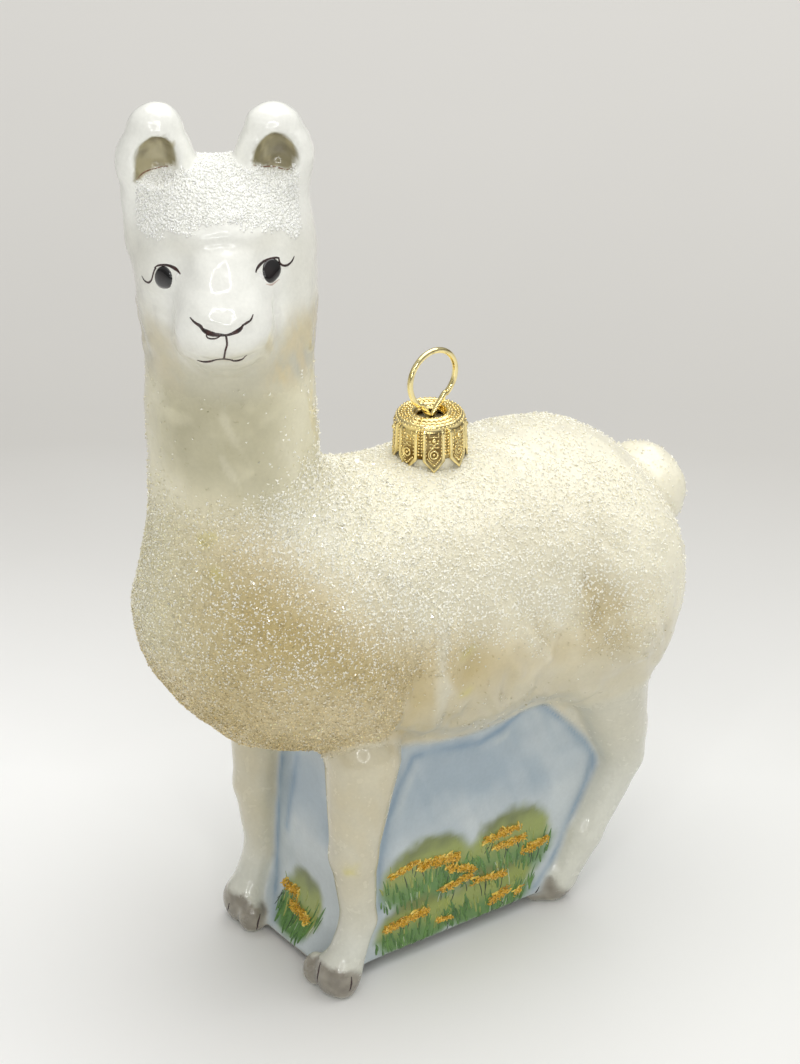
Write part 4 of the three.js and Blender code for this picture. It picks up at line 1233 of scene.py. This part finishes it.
SIDE_SPRAYS = (  # bands of blossom on the sides of the web: from, to, half height
    ((-13.1, 13.9), (-8.6, 14.8), 0.35),
    ((-8.4, 14.0), (-1.9, 13.2), 0.75),
    ((-3.9, 12.0), (0.7, 10.4), 0.6),
    ((-4.9, 8.9), (0.3, 9.6), 0.5),
    ((2.4, 13.9), (8.2, 14.1), 0.6),
    ((3.9, 12.2), (9.1, 12.1), 0.5),
    ((8.7, 9.9), (12.9, 10.5), 0.65),
    ((0.4, 8.5), (5.8, 7.6), 0.45),
    ((3.1, 4.0), (6.2, 4.9), 0.6),
    ((7.3, 3.8), (8.3, 4.2), 0.4),
    ((-14.1, 6.2), (-6.9, 6.9), 0.65),
    ((-5.6, 4.6), (-3.2, 4.2), 0.35),
)
FRONT_SPRAYS = (((-5.7, 6.9), (-2.2, 6.9), 0.6), ((-3.0, 5.6), (1.8, 4.9), 0.55))


def along_band(rng, spray, count):
    """Random places in a band of blossom."""
    start, end, half = np.array(spray[0]), np.array(spray[1]), spray[2]
    t = rng.random((count, 1))
    return start + (end - start) * t + np.clip(rng.normal(0, 0.5, (count, 2)), -1, 1) * (0.3, half)


def band_size(spray):
    return math.dist(spray[0], spray[1]) * spray[2]


def daubs(rng, spray, on, density):
    """Short crooked dabs of the brush that make up a band of blossom."""
    strokes = []
    for at in along_band(rng, spray, int(3 + density * band_size(spray))):
        slant = rng.normal(0.15, 0.55)
        reach = rng.uniform(0.3, 0.65) * np.array((math.cos(slant), math.sin(slant)))
        bend = rng.normal(0, 0.16, 2)
        width = rng.uniform(0.13, 0.23)
        strokes.append((on(np.array([at - reach, at + bend, at + reach])), (0.7 * width, width, 0.5 * width)))
    return strokes


def stems(rng, spray, on):
    """Thin dark stalks below a band of blossom."""
    count = 1 + int(math.dist(spray[0], spray[1]) / 1.6)
    strokes = []
    for at in along_band(rng, spray, count) - (0, 0.8 * spray[2] + 0.2):
        length = rng.uniform(1.0, 2.4)
        foot = at - (rng.normal(0, 0.3) * length, min(length, at[1] - 1.2))
        strokes.append((on(np.array([at, (at + foot) / 2 + (0.1, 0), foot])), (0.05, 0.09, 0.05)))
    return strokes


BANDS = [(spray, on_side(side)) for side in (1, -1) for spray in SIDE_SPRAYS]
BANDS += [(spray, on_front) for spray in FRONT_SPRAYS]
lay_strokes("grass_stems", [stroke for spray, on in BANDS for stroke in stems(rng, spray, on)],
            enamel_material("stem_dark", srgb(24, 44, 24), srgb(52, 78, 42), 0.3), "meadow_paint", lift=0.06)
for name, dark, light, density, lift in (("ochre_dabs", srgb(160, 122, 26), srgb(212, 168, 46), 6.5, 0.1),
                                         ("amber_dabs", srgb(226, 186, 58), srgb(250, 224, 116), 4.5, 0.17)):
    lay_strokes(name, [stroke for spray, on in BANDS for stroke in daubs(rng, spray, on, density)],
                enamel_material(name, dark, light, 0.25), "meadow_paint", lift=lift)
sprinkled = [on(along_band(rng, spray, int(20 + 55 * band_size(spray)))) for spray, on in BANDS]
p, n = settle(np.concatenate(sprinkled), passes=2)
tone = mix(plain(srgb(216, 170, 42), p), srgb(250, 210, 104), rng.random(len(p)) ** 2)
raised = p + n * rng.uniform(0.05, 0.25, len(p))[:, None]
corners = crystals(raised, n, rng.uniform(0.18, 0.34, len(p)), rng, tilt=1.0, height=0.5, lift=0.05)
orange = glitter_material("orange_glitter")
grains("blossom_glitter", corners, CRYSTAL, p, n, tone, rng.uniform(0.2, 1.0, len(p)), orange, "meadow_paint")

# ---- Cap ---------------------------------------------------------------------------------

CAP_Y = 1.0
CAP_TOP = 73.1
CAP_HEIGHT = 6.5
HEM, SHOULDER = 4.5, 4.25  # radius of the skirt at its foot and at the top
PETALS = 8
PETAL_HALF = 1.4
POINT = 1.6  # how far a petal's point reaches below its sides
CAP_TURN = math.radians(15)
GOLD = gold_material("cap_gold_metal", srgb(255, 236, 172), srgb(104, 76, 28), 0.15, stamped=True)


def on_cap(across, up, out, petal):
    """A point of the skirt: across and up from a petal's tip, and out from the metal."""
    radius = HEM + 0.2 - (HEM - SHOULDER) * np.asarray(up, float) / CAP_HEIGHT + out
    turn = CAP_TURN + petal * 2 * math.pi / PETALS + np.asarray(across, float) / HEM
    z = CAP_TOP - CAP_HEIGHT + np.asarray(up, float)
    return np.column_stack(np.broadcast_arrays(radius * np.sin(turn), CAP_Y - radius * np.cos(turn), z))


def turned(rows, around, turn=0.0):
    """A closed ring of quads round the cap's axis, from rows of radius and height."""
    angle = circle(around) + turn
    across, along = np.sin(angle), np.cos(angle)
    points = [columns(*np.broadcast_arrays(r * across, CAP_Y - r * along, z)) for r, z in rows]
    last, j = (len(rows) - 1) * around, np.arange(around)
    k = (j + 1) % around
    faces = [ring_faces(len(rows), around, capped=False), columns(last + j, last + k, k, j)]
    return np.concatenate(points), np.concatenate(faces)


CAP_CROWN = (  # radius and height of the rings pressed into the top, and the edge of the hole
    (4.32, 72.5), (4.2, 72.78), (4.0, 72.95), (3.84, 72.92), (3.7, 72.82), (3.5, 72.82), (3.36, 72.92),
    (3.22, 73.0), (3.08, 72.92), (2.9, 72.86), (2.74, 72.96), (2.6, 73.06), (2.4, 73.1), (2.1, 73.06),
    (2.0, 72.75), (1.9, 72.6), (1.7, 72.6), (1.7, 72.35), (3.6, 72.3), (3.85, 72.0))


def cap_shell():
    """The pressed shell, and how deep each of its points lies in the relief, which sets its painted shade."""
    around = 384
    angle = circle(around)
    half_turn = math.pi / PETALS
    across = np.abs((angle + half_turn) % (2 * half_turn) - half_turn) * HEM
    on_petal = fade(PETAL_HALF + 0.12, PETAL_HALF - 0.05, across)
    border = fade(PETAL_HALF - 0.42, PETAL_HALF - 0.3, across) * on_petal
    tip = POINT * np.clip(across / PETAL_HALF, 0, 1)
    hem_z = CAP_TOP - CAP_HEIGHT
    rows, recess = [], []
    flare = lambda up: HEM - (HEM - SHOULDER) * up / CAP_HEIGHT
    for up in np.linspace(0, 1, 20):
        level = tip + (CAP_HEIGHT - 0.75 - tip) * up
        frame_part = np.maximum(border, fade(0.6, 0.45, level - tip) * on_petal)
        raised = 0.2 * on_petal + 0.12 * frame_part - 0.1 * (1 - on_petal)
        below_rim = 1 - fade(0.92, 1.0, up)
        rows.append((flare(level) + raised * below_rim, hem_z + level))
        recess.append((1 - frame_part) * below_rim)
    for radius, z in CAP_CROWN:
        rows.append((radius, z))
        recess.append(np.full(around, 0.7 if z < 72.9 and radius < 3.9 else 0.1))
    for up in np.linspace(1, 0, 6):
        level = tip + (CAP_HEIGHT - 1.3 - tip) * up
        rows.append((flare(level) - 0.18 + 0.2 * on_petal, hem_z + level))
        recess.append(np.ones(around))
    return *turned(rows, around, CAP_TURN), np.concatenate(recess)


def arc(a, b, ra, rb, start, end, steps=18):
    """Points of an oval arc round a, b."""
    turn = np.linspace(start, end, steps)
    return columns(a + ra * np.cos(turn), b + rb * np.sin(turn))


def petal_relief(shape, petal):
    """Beads, a frame, a bow and a scroll stamped on one petal."""
    wires = (
        ([(-0.6, 5.45), (-0.6, 4.9), (0.6, 4.9), (0.6, 5.45)], 0.09),
        (arc(-0.4, 3.75, 0.34, 0.28, -2.2, 2.2), 0.11),
        (arc(0.4, 3.75, 0.34, 0.28, math.pi - 2.2, math.pi + 2.2), 0.11),
        (arc(0, 2.5, 0.46, 0.52, 0, 2 * math.pi, 22), 0.13),
        (arc(0.1, 2.5, 0.78, 0.9, 1.7, 4.4), 0.09),
    )
    balls = [(0, 4.45, 0.32), (-0.52, 4.35, 0.16), (0.52, 4.35, 0.16), (0, 3.72, 0.19), (0, 2.5, 0.2)]
    for side in (-1, 1):
        balls += [(side * 0.9 * t, 0.95 + 1.1 * t, 0.14) for t in (0.1, 0.3, 0.5, 0.7, 0.9)]
        balls += [(side * 0.95, 2.4 + 0.5 * step, 0.13) for step in range(6)]
    for path, radius in wires:
        shape.add(*tube(on_cap(*np.transpose(path), 0.04, petal), radius, 6))
    for across, up, radius in balls:
        shape.add(*bead(on_cap(across, up, 0.04, petal)[0], radius))


SMALL_BEAD = 0.17
cap = Shape()
shell_points, shell_faces, shell_recess = cap_shell()
cap.add(shell_points, shell_faces)
for petal in range(PETALS):
    petal_relief(cap, petal)
    between_petals = HEM * math.pi / PETALS
    for column in (-0.2, 0.2):
        for step in range(9):
            cap.add(*bead(on_cap(between_petals + column, 2.3 + 0.42 * step, -0.2, petal)[0], SMALL_BEAD))
BEAD_RINGS = (  # radius, height and number of beads
    (4.26, 72.55, 52), (3.98, 72.92, 40), (3.6, 72.86, 36), (3.2, 73.0, 32), (2.8, 72.94, 28),
    (2.42, 73.1, 24))
for radius, level, count in BEAD_RINGS:
    for a in circle(count):
        cap.add(*bead((radius * math.sin(a), CAP_Y - radius * math.cos(a), level), SMALL_BEAD, 0.8))
cap_piece = cap.build("crown_cap", GOLD, "cap_gold")
add_value(cap_piece, "recess", np.concatenate([shell_recess, np.zeros(cap.count - len(shell_recess))]))
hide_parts("cap")

# ---- Wire loop and the glass neck under the cap ------------------------------------------

LOOP_RADIUS = 3.8
LOOP_AT = (1.4, 77.4)  # along and up
LOOP_GAP = 0.5  # half the opening at its foot, in radians
WIRE_RADIUS = 0.38
SPREAD, SPLAY = 0.5, 1.8  # half the distance between the wire's ends, across and along
LEG = 4.6  # how far they reach below the cap's top
t = np.linspace(0, 1, 25)
angle = -math.pi / 2 + LOOP_GAP + t * 2 * (math.pi - LOOP_GAP)
twist = SPREAD * (2 * fade(0, 1, t) - 1)
loop = columns(twist, LOOP_AT[0] + LOOP_RADIUS * np.cos(angle), LOOP_AT[1] + LOOP_RADIUS * np.sin(angle))
low = CAP_TOP - LEG
path = through(np.vstack([(-SPREAD, CAP_Y - SPLAY, low), loop, (SPREAD, CAP_Y + SPLAY, low)]), 220)
WIRE_GOLD = gold_material("wire_gold_metal", srgb(252, 236, 176), srgb(132, 102, 44), 0.1)
wire_piece = make_object("wire_loop", *tube(path, WIRE_RADIUS, 16), WIRE_GOLD, "wire_gold")
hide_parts("hanger_loop")

NECK_PROFILE = ((2.8, 64.0), (4.05, 64.0), (4.05, 69.9), (3.15, 71.2), (2.8, 70.9))
NECK_GLASS = enamel_material("neck_glass", srgb(244, 238, 214), srgb(254, 250, 232), 0.1)
make_object("glass_neck", *turned(NECK_PROFILE, 48), NECK_GLASS, "fleece_lacquer")

# ---- Camera, floor and light -------------------------------------------------------------

RIGHT = Vector((0.5878, 0.8090, 0.0))
BACK = Vector((0.7143, -0.5190, 0.4695)).normalized()
UP = BACK.cross(RIGHT).normalized()
AIM = Vector((0, -2.3, 57.0)) - 1.116 * RIGHT - 0.23 * UP
CAMERA_DISTANCE = 480
SENSOR = 36
PHOTO_HEIGHT, FOCAL_LENGTH = 1064, 3763  # in pixels
camera = place("camera", bpy.data.cameras.new("camera"))
facing = Matrix((RIGHT, UP, BACK)).transposed().to_4x4()
camera.matrix_world = Matrix.Translation((AIM + CAMERA_DISTANCE * BACK) * MM) @ facing
camera.data.sensor_width = SENSOR
camera.data.lens = SENSOR * FOCAL_LENGTH / PHOTO_HEIGHT
camera.data.clip_start = 0.01
bpy.context.scene.camera = camera


def soft_light(name, at, aim_at, size, power):
    data = bpy.data.lights.new(name, "AREA")
    data.shape = "RECTANGLE"
    data.size, data.size_y = size
    data.energy = power
    light = place(name, data)
    light.location = at
    light.rotation_euler = (Vector(at) - Vector(aim_at)).to_track_quat("Z", "Y").to_euler()


def floor_material():
    """Pale card with painted light and shade: bright round the ornament and towards the left, a painted
    greyer band behind it, a little lighter again far back.
    """
    m = Paint("pale_floor", Roughness=0.7)
    grain = m.ramp(m.noise(0.02, 3), -0.004, 0.004)
    away = m.math("ADD", m.along((-0.809, 0.588, 0)), grain)
    across = m.along((0.588, 0.809, 0))
    # Painted light and shade: lighter to the left, a painted shaded band behind the ornament.
    front = m.mix(srgb(242, 242, 240), srgb(226, 226, 223), m.ramp(across, 0, 1, -0.05, 0.08))
    near_to_far = m.mix(front, srgb(199, 197, 192), m.ramp(away, 0, 1, 0.03, 0.135))
    colour = m.mix(near_to_far, srgb(221, 219, 214), m.ramp(away, 0, 1, 0.15, 0.36))
    return m.finish(Base_Color=colour, Normal=m.bump(m.noise(2.0, 3), 0.02, 0.3))


def stage_mesh(name, points, faces, material):
    """A mesh that belongs to the stage, from points in metres."""
    mesh = bpy.data.meshes.new(name)
    mesh.from_pydata(points, [], faces)
    mesh.materials.append(material)
    staged = place(name, mesh)
    return staged


def ring_lamp(reach, thickness, strength):
    """A thin ring of light round the lens, which draws fine closed loops on the gloss."""
    lens = np.array(AIM + (CAMERA_DISTANCE - 10) * BACK)
    turn = circle(96)
    round_lens = np.outer(np.cos(turn), RIGHT) + np.outer(np.sin(turn), UP)
    points = [lens + round_lens * radius for radius in (reach, reach + thickness)]
    glow = bpy.data.materials.new("ring_glow")
    glow.use_nodes = True
    nodes, links = glow.node_tree.nodes, glow.node_tree.links
    nodes.clear()
    emission = nodes.new("ShaderNodeEmission")
    emission.inputs["Strength"].default_value = strength
    links.new(emission.outputs[0], nodes.new("ShaderNodeOutputMaterial").inputs["Surface"])
    faces = ring_faces(2, 96, capped=False).tolist()
    stage_mesh("ring_lamp", (np.concatenate(points) * MM).tolist(), faces, glow).visible_camera = False


FLOOR_REACH = 3.0
floor_corners = [(x * FLOOR_REACH, y * FLOOR_REACH, 0) for x, y in ((-1, -1), (1, -1), (1, 1), (-1, 1))]
stage_mesh("floor", floor_corners, [(0, 1, 2, 3)], floor_material())
ring_lamp(reach=120, thickness=12, strength=19.0)
soft_light("top_softbox", at=(-0.02, 0.16, 0.66), aim_at=(0, 0, 0.04), size=(0.8, 0.8), power=4.0)
world = bpy.context.scene.world or bpy.data.worlds.new("world")
bpy.context.scene.world = world
world.use_nodes = True
nodes, links = world.node_tree.nodes, world.node_tree.links
background = nodes["Background"]
background.inputs["Color"].default_value = (0.97, 0.965, 0.955, 1)
level = nodes.new("ShaderNodeSeparateXYZ")
rise = nodes.new("ShaderNodeMapRange")
# The world is dimmer near the horizon: from and to levels, then from and to strengths.
for socket, value in ((1, 0.1), (2, 0.45), (3, 0.22), (4, 0.48)):
    rise.inputs[socket].default_value = value
links.new(nodes.new("ShaderNodeTexCoord").outputs["Generated"], level.inputs[0])
links.new(level.outputs["Z"], rise.inputs[0])
links.new(rise.outputs[0], background.inputs["Strength"])
bpy.context.scene.view_settings.view_transform = "Standard"
